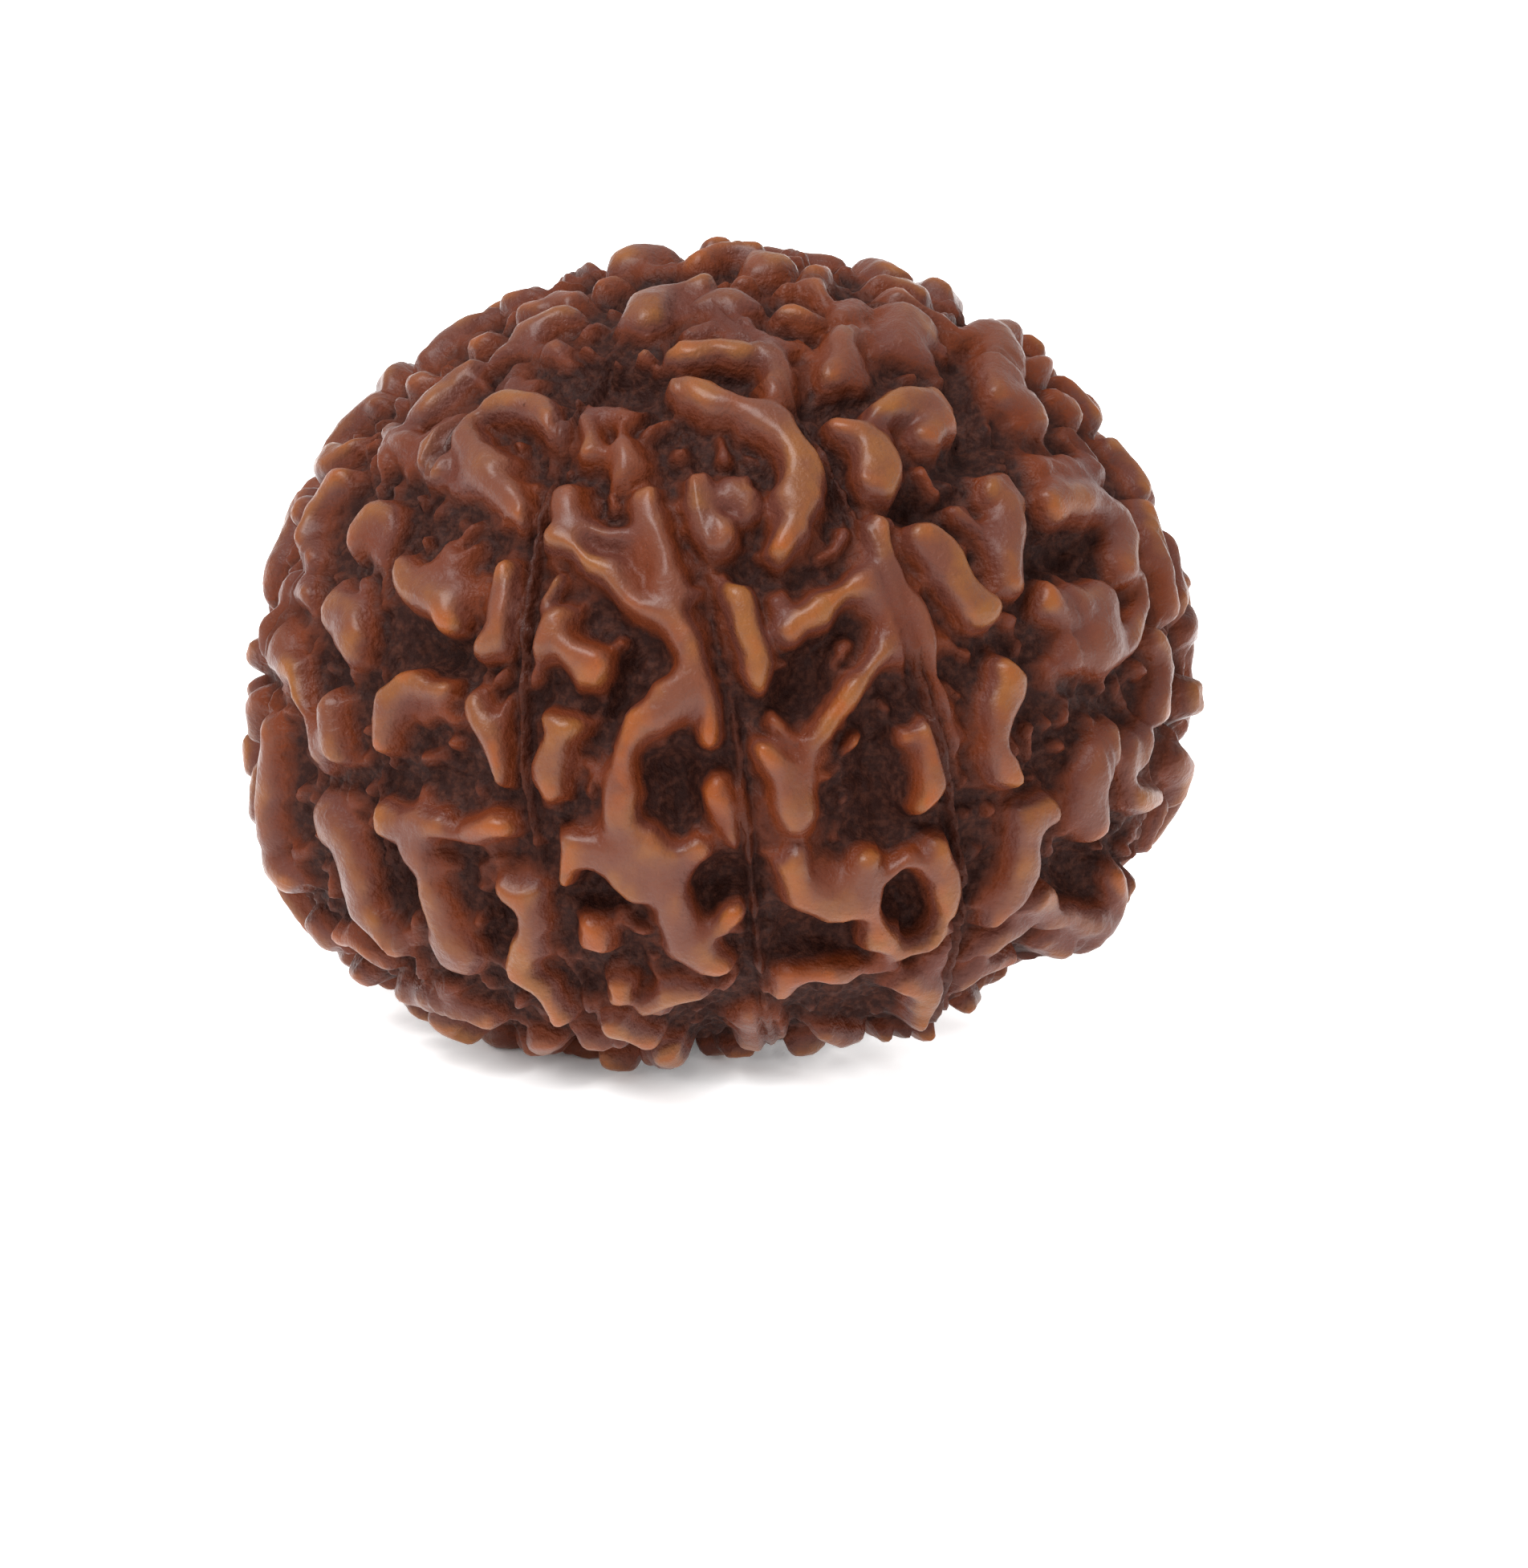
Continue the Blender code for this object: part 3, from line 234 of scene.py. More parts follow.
RIGHT_FACE = [
    (0.95, [(-2.2, 10.7, 0.5), (-1.9, 11.3, 0.6), (-1.2, 11.6, 0.5), (-0.6, 11.7, 0.4)]),
    (0.90, [(-0.3, 11.1, 0.6), (0.3, 11.2, 0.6)]),
    (0.70, [(-0.9, 10.4, 0.4), (-0.1, 10.6, 0.4), (0.6, 10.6, 0.35)]),
    (0.80, [(0.6, 11.8, 0.27)]),
    (0.90, [(2.5, 11.8, 0.35), (2.6, 11.3, 0.35)]),
    (0.80, [(1.8, 11.6, 0.3)]),
    (0.80, [(1.8, 10.9, 0.4), (2.4, 10.7, 0.35)]),
    (0.70, [(3.0, 10.8, 0.35), (3.7, 11.0, 0.35)]),
    (0.50, [(2.2, 10.2, 0.27), (2.3, 9.8, 0.27)]),
    (0.85, [(3.4, 10.3, 0.35), (3.15, 9.6, 0.4), (2.9, 9.0, 0.35)]),
    (0.60, [(3.7, 9.5, 0.35), (3.6, 9.0, 0.35)]),
    (0.90, [(-1.2, 9.6, 0.3), (-0.5, 9.7, 0.35), (0.3, 9.8, 0.35),
            (1.0, 9.7, 0.4), (1.5, 9.2, 0.4), (1.6, 8.7, 0.4)]),
    (0.65, [(0.3, 10.3, 0.27), (1.1, 10.3, 0.27), (1.7, 9.9, 0.27)]),
    (0.98, [(-1.2, 8.6, 0.45), (-0.4, 8.4, 0.55), (0.5, 8.2, 0.5), (1.2, 7.9, 0.5), (1.9, 7.3, 0.5)]),
    (0.98, [(1.9, 7.3, 0.5), (2.2, 6.6, 0.5), (2.1, 5.8, 0.5), (1.8, 5.0, 0.45), (1.6, 4.3, 0.4)]),
    (0.95, [(-0.7, 6.3, 0.35), (-0.5, 5.5, 0.4), (-0.2, 4.8, 0.45), (0.0, 4.4, 0.35)]),
    (0.72, [(0.2, 6.0, 0.4), (0.8, 5.7, 0.4), (0.6, 5.3, 0.35)]),
    (0.98, [(0.4, 2.9, 0.4), (0.55, 2.2, 0.45), (0.75, 1.5, 0.45), (0.95, 0.9, 0.4)]),
    (0.85, [(3.9, 3.7, 0.3), (3.1, 3.0, 0.3), (2.4, 2.5, 0.3), (1.8, 2.1, 0.3)]),
    (0.58, [(1.6, 3.0, 0.4), (1.7, 2.2, 0.45)]),
    (0.85, [(4.4, 1.8, 0.3), (3.9, 1.1, 0.33), (3.3, 0.4, 0.35), (2.8, -0.2, 0.33), (2.3, -0.7, 0.33)]),
    (0.90, [(4.0, 5.0, 0.3), (4.2, 4.4, 0.35), (4.7, 3.5, 0.35),
            (5.3, 2.5, 0.4), (5.6, 1.6, 0.4), (5.8, 0.8, 0.3)]),
    (0.85, [(5.8, 0.8, 0.3), (6.0, 0.1, 0.27)]),
    (0.72, [(4.0, 3.8, 0.4), (4.3, 2.9, 0.5), (4.8, 2.2, 0.5), (5.1, 1.5, 0.45)]),
    (0.95, [(5.7, -0.5, 0.45), (5.8, -1.2, 0.5), (5.7, -1.9, 0.4), (5.4, -2.6, 0.3)]),
    (0.95, [(1.0, -0.8, 0.3), (1.3, -1.5, 0.35), (1.7, -2.3, 0.45), (1.9, -2.9, 0.45)]),
    (0.72, [(2.3, -0.7, 0.33), (2.1, -1.3, 0.35), (2.2, -1.9, 0.35), (2.1, -2.5, 0.4)]),
    (0.75, [(0.1, -2.2, 0.45), (0.2, -2.8, 0.5), (0.5, -3.5, 0.3)]),
    (0.95, [(2.0, -4.1, 0.4), (2.1, -4.8, 0.5), (2.7, -5.3, 0.5),
            (3.4, -5.2, 0.5), (3.8, -4.5, 0.4), (3.8, -3.8, 0.35)]),
    (0.85, [(1.5, -7.8, 0.35), (1.9, -7.2, 0.4), (2.6, -7.1, 0.4), (3.3, -7.2, 0.4)]),
    (0.85, [(5.5, -4.4, 0.3), (4.8, -4.2, 0.27), (4.2, -4.6, 0.27), (3.95, -5.4, 0.33), (4.1, -6.1, 0.4)]),
    (0.85, [(4.1, -6.1, 0.4), (4.8, -6.5, 0.35), (5.4, -6.3, 0.35), (5.9, -5.8, 0.33)]),
    (0.95, [(5.9, -3.9, 0.45), (6.0, -4.6, 0.5), (6.1, -5.3, 0.4)]),
    (0.90, [(5.0, -7.3, 0.35), (5.7, -7.4, 0.5), (5.4, -7.9, 0.5)]),
    (0.65, [(3.9, -7.1, 0.3), (4.6, -7.0, 0.3)]),
]
print(len(MIDDLE_FACE) + len(RIGHT_FACE), "ridges in the middle")

# %% Ridges of the right edge
RIGHT_RIM = [
    (0.90, [(4.7, 11.2, 0.4), (5.1, 10.7, 0.65), (5.0, 10.1, 0.7)]),
    (0.80, [(5.7, 10.7, 0.35), (6.3, 10.2, 0.35)]),
    (0.60, [(3.9, 10.5, 0.35), (4.1, 10.0, 0.35)]),
    (0.95, [(4.2, 8.0, 0.4), (4.9, 8.3, 0.5), (5.6, 8.3, 0.5), (5.8, 7.8, 0.5), (5.5, 7.3, 0.4)]),
    (0.95, [(3.1, 7.6, 0.4), (3.7, 7.4, 0.45), (4.2, 6.8, 0.55), (4.2, 6.3, 0.5), (3.9, 6.0, 0.3)]),
    (0.90, [(7.4, 9.9, 0.4), (7.5, 9.2, 0.5), (7.5, 8.6, 0.4), (8.1, 8.4, 0.45), (8.4, 7.9, 0.35)]),
    (0.85, [(8.3, 9.2, 0.3), (8.6, 9.1, 0.3)]),
    (0.80, [(6.7, 10.2, 0.3), (7.5, 10.1, 0.35)]),
    (0.60, [(9.5, 7.5, 0.35), (10.0, 6.9, 0.3)]),
    (0.70, [(8.6, 6.6, 0.4), (9.5, 6.6, 0.4), (10.3, 6.4, 0.35)]),
    (0.88, [(8.8, 5.6, 0.4), (9.4, 5.8, 0.45), (10.1, 5.8, 0.45),
            (10.5, 5.4, 0.4), (10.8, 4.8, 0.4), (10.8, 3.7, 0.35)]),
    (0.70, [(6.1, 5.4, 0.2), (6.9, 5.1, 0.28)]),
    (0.85, [(7.1, 6.0, 0.35), (7.6, 6.2, 0.4), (7.8, 5.7, 0.45),
            (7.7, 5.0, 0.5), (7.6, 4.3, 0.55), (7.7, 3.6, 0.5)]),
    (0.98, [(5.3, 4.7, 0.4), (5.8, 4.1, 0.45), (6.3, 3.4, 0.5), (6.9, 2.8, 0.5), (7.2, 2.7, 0.4)]),
    (0.88, [(8.9, 2.9, 0.45), (9.7, 2.7, 0.65), (10.4, 2.7, 0.65), (10.3, 1.9, 0.65), (9.6, 1.8, 0.55)]),
    (0.60, [(9.1, 1.1, 0.4)]),
    (0.85, [(11.2, 5.4, 0.3), (11.4, 4.5, 0.33), (11.7, 3.6, 0.35), (11.9, 2.9, 0.35)]),
    (0.80, [(11.2, 3.6, 0.27), (11.25, 2.8, 0.27), (11.0, 2.0, 0.28), (10.7, 1.5, 0.27)]),
    (0.88, [(11.6, 1.8, 0.33), (11.9, 1.2, 0.38), (11.7, 0.5, 0.38), (11.8, -0.2, 0.33)]),
    (0.75, [(11.5, -0.6, 0.3), (11.3, -1.2, 0.3)]),
    (0.95, [(7.8, 1.0, 0.4), (7.7, 0.5, 0.48), (7.4, -0.3, 0.3),
            (7.45, -1.1, 0.3), (7.7, -1.7, 0.38), (7.9, -2.0, 0.3)]),
    (0.88, [(10.5, -0.9, 0.55), (10.1, -1.5, 0.65), (10.0, -2.3, 0.65), (10.1, -3.1, 0.45)]),
    (0.80, [(11.1, -0.9, 0.27), (11.0, -1.8, 0.28)]),
    (1.00, [(11.1, -2.3, 0.33), (11.6, -2.3, 0.4)]),
    (0.93, [(8.9, -2.8, 0.38), (8.3, -3.1, 0.48), (8.1, -3.8, 0.42),
            (8.1, -4.4, 0.4), (7.8, -4.9, 0.38), (7.2, -5.6, 0.3)]),
    (0.85, [(8.6, -5.0, 0.35), (9.0, -5.5, 0.45), (9.7, -5.5, 0.4), (10.2, -5.0, 0.38), (10.4, -4.4, 0.3)]),
    (0.80, [(8.3, -5.7, 0.33), (7.7, -6.0, 0.33), (7.2, -6.4, 0.3)]),
    (0.75, [(8.6, -6.2, 0.28), (9.3, -6.1, 0.33), (9.9, -5.8, 0.27)]),
    (0.75, [(7.8, -6.6, 0.28), (7.0, -6.8, 0.3), (6.4, -7.3, 0.3)]),
    (0.60, [(5.6, -6.9, 0.28), (6.4, -6.6, 0.28)]),
]
print(len(RIGHT_RIM), "ridges on the right")

# %% Crumbs and pits in the valleys
CRUMBS = [
    (0.45, [(-9.6, 4.1, 0.2), (-9.3, 3.4, 0.2)]),
    (0.40, [(-10.3, 1.1, 0.2), (-10.0, 1.0, 0.15)]),
    (0.45, [(-10.2, -1.5, 0.2), (-9.8, -1.55, 0.2)]),
    (0.50, [(-8.8, 7.0, 0.25), (-8.6, 6.6, 0.2)]),
    (0.45, [(-6.9, -1.25, 0.2), (-6.7, -1.1, 0.2)]),
    (0.45, [(-8.3, -1.45, 0.2), (-7.8, -1.5, 0.2)]),
    (0.50, [(-7.7, -4.0, 0.2), (-7.3, -4.1, 0.2)]),
    (0.45, [(-6.6, -4.4, 0.18), (-6.0, -4.15, 0.18), (-5.4, -4.3, 0.18)]),
    (0.45, [(-6.75, -4.8, 0.2), (-6.55, -5.1, 0.2)]),
    (0.50, [(-9.2, -4.0, 0.22), (-9.2, -4.3, 0.2)]),
    (0.60, [(-8.6, -5.7, 0.22), (-8.6, -6.2, 0.25)]),
    (0.45, [(-1.35, 7.2, 0.25)]),
    (0.60, [(-2.1, -6.0, 0.2)]),
    (0.35, [(-2.1, 1.3, 0.25), (-2.4, 0.8, 0.25)]),
    (0.40, [(1.0, 4.2, 0.2)]),
    (0.35, [(0.3, 4.0, 0.15)]),
    (0.45, [(-0.2, 3.55, 0.15), (0.2, 3.45, 0.2)]),
    (0.55, [(3.4, 1.9, 0.2), (3.0, 1.3, 0.2)]),
    (0.45, [(4.9, -5.9, 0.2)]),
    (0.35, [(3.3, -2.6, 0.2), (3.6, -2.2, 0.2)]),
    (0.35, [(2.4, 3.0, 0.15), (2.6, 3.7, 0.15)]),
    (0.45, [(5.9, 9.4, 0.2), (5.9, 9.0, 0.2)]),
    (0.40, [(6.8, 6.6, 0.25)]),
    (0.40, [(6.7, -1.5, 0.2)]),
    (0.45, [(6.4, 0.7, 0.18), (6.7, 0.3, 0.18)]),
    (0.45, [(8.9, -0.3, 0.25)]),
    (0.40, [(8.3, 1.8, 0.2)]),
    (0.40, [(8.8, -1.9, 0.2)]),
]
PITS = [
    (0.35, [(-8.8, -4.4, 0.45), (-8.9, -5.1, 0.45)]),
    (0.35, [(-6.1, -5.7, 0.35), (-6.1, -6.2, 0.35)]),
    (0.30, [(-8.5, 1.7, 0.5), (-7.6, 1.6, 0.5)]),
    (0.30, [(-3.6, -5.0, 0.45)]),
    (0.30, [(-0.3, -4.9, 0.4), (0.3, -4.8, 0.4)]),
    (0.40, [(2.2, -6.2, 0.4), (3.1, -6.4, 0.4)]),
    (0.40, [(4.7, -5.1, 0.4), (5.2, -5.5, 0.35)]),
    (0.40, [(9.0, 4.4, 0.5), (9.8, 4.4, 0.5)]),
    (0.35, [(9.3, -4.5, 0.4), (9.9, -4.4, 0.35)]),
    (0.35, [(-2.4, 1.1, 0.5), (-2.5, 0.2, 0.4)]),
    (0.35, [(-1.3, -1.6, 0.5), (-1.1, -2.6, 0.55)]),
    (0.35, [(4.2, -0.8, 0.55), (4.3, -1.8, 0.6), (4.6, -3.3, 0.5)]),
    (0.35, [(1.9, 0.4, 0.45), (2.3, 1.0, 0.4)]),
    (0.30, [(-3.4, 9.4, 0.7), (-2.4, 9.2, 0.5)]),
    (0.30, [(6.9, 7.5, 0.5), (6.7, 8.8, 0.35)]),
    (0.30, [(5.2, 5.8, 0.45)]),
]
print(len(CRUMBS), "crumbs and", len(PITS), "pits")

# %% Put them on the body
LIMB_WIDENING = 0.45


def seen_ridges(ridges):
    """Ridges given across and up, as points on the body, made wider where the body turns away."""
    placed = []
    for height, crest in ridges:
        points = np.array([seen_at(across, up) for across, up, _ in crest])
        away = 1.0 - np.clip(unit(points) @ EYE_BACK, 0.0, 1.0)
        widths = np.array([width for _, _, width in crest]) * (1.0 + LIMB_WIDENING * away)
        placed.append((height, np.column_stack([points, widths])))
    return placed


seen = seen_ridges(LEFT_RIM + LEFT_FACE + MIDDLE_FACE + RIGHT_FACE + RIGHT_RIM)
crumbs = seen_ridges(CRUMBS)
pits = seen_ridges(PITS)
print(len(seen), "ridges placed on the seen side")

# %% [markdown]
# ## Dents and bulges of the whole body
# The edge of a real stone strays from the even body by more than half a millimetre in places. Each dent or
# bulge has its place across and up in the view, how far round it reaches, and how far out it stands. A dent
# has less than nothing.

# %% Dents and bulges
BULGES = [
    (10.1, -5.8, 1.7, 0.75),
    (5.6, -8.3, 1.8, 0.7),
    (12.0, 4.4, 2.6, 0.35),
    (8.0, 9.9, 2.0, 0.35),
    (-12.0, -3.2, 2.2, 0.4),
    (-12.2, 1.6, 1.6, 0.25),
    (-7.8, 9.5, 2.8, -0.4),
    (-2.6, 11.8, 1.8, -0.35),
    (0.4, 12.0, 1.2, -0.2),
    (0.3, -8.8, 1.8, -0.5),
]
print(len(BULGES), "dents and bulges")

# %% [markdown]
# ## The sides that the eye doesn't see
# A stone looks alike all round, so the hidden faces take their ridges from the four best seen faces, each
# turned over sideways or end for end and changed a little. The lowest ridges get places of their own,
# across and back from the lowest point, because the stone stands on them.

# %% Ridges that the stone stands on
STANDING_RIDGES = [
    (1.00, [(-0.9, -0.2, 0.8), (0.7, 0.2, 0.8)]),
    (1.00, [(-2.4, 1.7, 0.5), (-1.2, 2.3, 0.5)]),
    (1.00, [(0.6, 2.5, 0.5), (1.7, 2.0, 0.5)]),
    (1.00, [(-2.5, -1.6, 0.5), (-1.4, -2.3, 0.5)]),
    (1.00, [(0.5, -2.4, 0.5), (1.6, -2.0, 0.5)]),
    (1.00, [(-3.5, 0.5, 0.45), (-3.4, -0.5, 0.45)]),
    (1.25, [(3.4, 2.6, 0.6), (4.4, 2.8, 0.7), (5.4, 2.3, 0.6)]),
    (1.25, [(3.3, -2.5, 0.6), (4.5, -2.7, 0.7), (5.5, -2.2, 0.6)]),
]
STANDING_CLEARANCE = 4.3
LEANING_SIDES = (90.0, -90.0)
LOW_LATITUDES = np.linspace(-90.0, -60.0, 601)


def lowest_point():
    """The lowest point of the smooth body, found by walking down both sides of its lean."""
    points = np.array([at(side, latitude) for side in LEANING_SIDES for latitude in LOW_LATITUDES])
    return points[points[:, 2].argmin()]


foot = lowest_point()
standing = []
for height, crest in STANDING_RIDGES:
    rows = [(*on_body(foot + np.array([across, back, 0.0])), width) for across, back, width in crest]
    standing.append((height, np.array(rows)))
print("lowest point of the body, mm from its centre:", foot.round(2))

# %% Turn seen faces onto hidden ones
BEST_SEEN_FACES = [-2, -1, 0, 1]
COPIED_BELOW = 78.0
COPIED_ABOVE = -42.0
CAP_FROM = 42.0
HIDDEN_FACING = 0.1
SHIFT_DEGREES = 1.6
WIDTH_CHANGE = 0.14
HEIGHT_CHANGE = 0.05
SEED = 14


def turned_copy(ridge, source_middle, target_middle, sideways, endwise, draw):
    """The ridge of one face laid on another, turned over sideways or end for end, and changed a little."""
    height, rows = ridge
    longitudes, latitudes = longitude_latitude(rows[:, :3])
    across = draw.uniform(-SHIFT_DEGREES, SHIFT_DEGREES)
    longitudes = target_middle + sideways * (longitudes - source_middle) + across
    latitudes = endwise * latitudes + draw.uniform(-SHIFT_DEGREES, SHIFT_DEGREES)
    widths = rows[:, 3] * (1.0 + draw.uniform(-WIDTH_CHANGE, WIDTH_CHANGE))
    places = np.array([at(*place) for place in zip(longitudes, latitudes)])
    height *= 1.0 + draw.uniform(-HEIGHT_CHANGE, HEIGHT_CHANGE)
    return height, np.column_stack([places, widths])


def far_ridges(ridges, draw):
    """The faces and the underside that the eye doesn't see, made from the four faces that it sees best."""
    by_face = {source: [] for source in BEST_SEEN_FACES}
    for ridge in ridges:
        longitude, latitude = longitude_latitude(ridge[1][:, :3].mean(axis=0))
        face = math.floor((longitude - FIRST_SEAM) / FACE_WIDTH)
        if face in by_face:
            by_face[face].append((latitude, ridge))
    copies = []
    for target in range(FACES):
        target_middle = FIRST_SEAM + (target + 0.5) * FACE_WIDTH
        for endwise in (1, -1):
            source = draw.choice(BEST_SEEN_FACES)
            sideways = draw.choice((1, -1))
            source_middle = FIRST_SEAM + (source + 0.5) * FACE_WIDTH
            for latitude, ridge in by_face[source]:
                on_side = endwise == 1 and COPIED_ABOVE < latitude < COPIED_BELOW
                on_cap = endwise == -1 and latitude > CAP_FROM
                copy = turned_copy(ridge, source_middle, target_middle, sideways, endwise, draw)
                clear = np.linalg.norm(copy[1][:, :3] - foot, axis=1).min() > STANDING_CLEARANCE
                hidden = (unit(copy[1][:, :3]) @ EYE_BACK < HIDDEN_FACING).all()
                if (on_side or on_cap) and clear and hidden:
                    copies.append(copy)
    return copies


ridges = seen + far_ridges(seen, random.Random(SEED)) + standing
crumbs += far_ridges(crumbs, random.Random(SEED + 2))
print(len(ridges), "ridges and", len(crumbs), "crumbs with the far side")

# %% [markdown]
# ## What is left between them
# Some bare places remain, on the far side, round the edge of the view and underneath. Short bent ridges are
# thrown at the body one by one, and each is kept only where it has room beside all the others. Crumbs are
# then thrown into the valleys of all sides in the same way, smaller and lower. They keep clear of the pits,
# and lie flatter where the stone turns under. A seeded draw gives the same stone each time.

# %% Helpers for throwing
SAMPLE_STEP = 0.25


def crest_samples(rows, apart=SAMPLE_STEP):
    """Points along a crest line, close together, with the half width at each."""
    samples = [rows[0]]
    for start, end in zip(rows[:-1], rows[1:]):
        steps = max(1, math.ceil(np.linalg.norm(end[:3] - start[:3]) / apart))
        samples += [start + (end - start) * step / steps for step in range(1, steps + 1)]
    return np.array(samples)


def all_samples(ridges):
    return np.vstack([crest_samples(rows) for _, rows in ridges])


def distances(rows, others):
    """From each point of one set to each point of another."""
    return np.linalg.norm(rows[:, None, :3] - others[None, :, :3], axis=2)


def anywhere(draw):
    """A point of the body, drawn so that every side is as likely."""
    longitude = draw.uniform(-180.0, 180.0)
    return at(longitude, math.degrees(math.asin(draw.uniform(-1.0, 1.0))))


print("a crest line has a sample every", SAMPLE_STEP, "mm")

# %% Throw short ridges at the bare places
RIDGE_WIDENING = 1.2
FILLER_TRIES = 6000
FILLER_FACING = 0.34
FILLER_BELOW = -7.9
FILLER_HALF_LENGTH = (0.15, 0.95)
FILLER_HALF_WIDTH = (0.34, 0.6)
FILLER_WIDTH_CHANGE = 0.15
FILLER_HEIGHT = (0.75, 1.0)
FILLER_SLANT = 50.0
FILLER_BEND = 0.35


def filler_ridge(draw):
    """A short bent ridge anywhere on the body, nearer to the run of the seams than across it."""
    middle = anywhere(draw)
    outward = unit(middle)
    along = unit(AXIS - outward * (outward @ AXIS))
    slant = math.radians(draw.uniform(-FILLER_SLANT, FILLER_SLANT))
    heading = math.cos(slant) * along + math.sin(slant) * np.cross(outward, along)
    aside = np.cross(outward, heading) * draw.uniform(-FILLER_BEND, FILLER_BEND)
    half_length = draw.uniform(*FILLER_HALF_LENGTH)
    width = draw.uniform(*FILLER_HALF_WIDTH)
    places = on_body(middle + np.array([-heading * half_length, aside, heading * half_length]))
    widths = [width * (1.0 + draw.uniform(-FILLER_WIDTH_CHANGE, FILLER_WIDTH_CHANGE)) for _ in places]
    return draw.uniform(*FILLER_HEIGHT), np.column_stack([places, widths])


draw = random.Random(SEED + 1)
taken = all_samples(ridges)
for _ in range(FILLER_TRIES):
    ridge = filler_ridge(draw)
    rows = crest_samples(ridge[1])
    in_view = (unit(rows[:, :3]) @ EYE_BACK > FILLER_FACING) & (rows[:, :3] @ EYE_UP > FILLER_BELOW)
    if in_view.any():
        continue
    room = distances(rows, taken) - RIDGE_WIDENING * (rows[:, None, 3] + taken[None, :, 3])
    if room.min() > 0.0:
        ridges.append(ridge)
        taken = np.vstack([taken, rows])
print(len(ridges), "ridges in all")

# %% Throw crumbs into the valleys
CRUMB_TRIES = 16000
CRUMB_HALF_LENGTH = (0.0, 0.45)
CRUMB_HALF_WIDTH = (0.14, 0.3)
CRUMB_TAPER = (0.6, 1.0)
CRUMB_HEIGHT = (0.3, 0.72)
CRUMB_GAP = -0.12
CRUMB_APART = 0.06
PIT_CLEARANCE = 0.55
LOW_DOWN = -0.4
LOWERED = 0.5

hollows = all_samples(pits)
small = all_samples(crumbs)
for _ in range(CRUMB_TRIES):
    middle = anywhere(draw)
    heading = unit(np.cross(unit(middle), [draw.gauss(0.0, 1.0) for _ in range(3)]))
    half_length = draw.uniform(*CRUMB_HALF_LENGTH)
    width = draw.uniform(*CRUMB_HALF_WIDTH)
    ends = on_body(middle + np.array([-heading, heading]) * half_length)
    rows = np.column_stack([ends, (width, width * draw.uniform(*CRUMB_TAPER))])
    crumb_height = draw.uniform(*CRUMB_HEIGHT)
    if unit(middle) @ AXIS < LOW_DOWN:
        crumb_height *= LOWERED
    room = (distances(rows, taken) - RIDGE_WIDENING * taken[None, :, 3]).min() - width
    between = (distances(rows, small) - small[None, :, 3]).min() - width
    if room > CRUMB_GAP and between > CRUMB_APART and distances(rows, hollows).min() > PIT_CLEARANCE:
        crumbs.append((crumb_height, rows))
        small = np.vstack([small, crest_samples(rows)])
print(len(crumbs), "crumbs in all")

# %% [markdown]
# ## The crest lines as a mesh
# Geometry Nodes will read the crest lines, so they become a mesh of loose edges. Each of its points carries
# two numbers as attributes: the half width of the ridge there, and its height. A pit carries a height below
# zero.

# %% Make the mesh of crest lines
SKIN_WIDENING = 1.14
ROD_STEP = 0.35
points, edges, half_widths, heights = [], [], [], []
for height, rows in ridges + crumbs + [(-depth, rows) for depth, rows in pits]:
    first = len(points)
    rows = crest_samples(rows, ROD_STEP)
    points += [tuple(row[:3]) for row in rows]
    half_widths += [row[3] * SKIN_WIDENING for row in rows]
    heights += [height] * len(rows)
    edges += [(first + step, first + step + 1) for step in range(len(rows) - 1)]
crest_mesh = bpy.data.meshes.new("rudraksha_crest_lines")
crest_mesh.from_pydata(points, edges, [])
for name, values in (("half_width", half_widths), ("height", heights)):
    crest_mesh.attributes.new(name, "FLOAT", "POINT").data.foreach_set("value", values)


def put_in_scene(name, data):
    """A new object that holds this mesh, lamp or camera."""
    made = bpy.data.objects.new(name, data)
    bpy.context.scene.collection.objects.link(made)
    return made


crest_lines = put_in_scene("rudraksha_crest_lines", crest_mesh)
print(len(points), "points,", len(edges), "edges")

# %% [markdown]
# ## Sums that add nodes
# A node tree holds many small sums, and wiring each by hand hides what they mean. One class wraps a socket,
# so that a sum written in Python adds its Math nodes, and one method adds any other node: its settings
# first, then the values and links of its sockets. The same class serves the stone's shape and its finish.

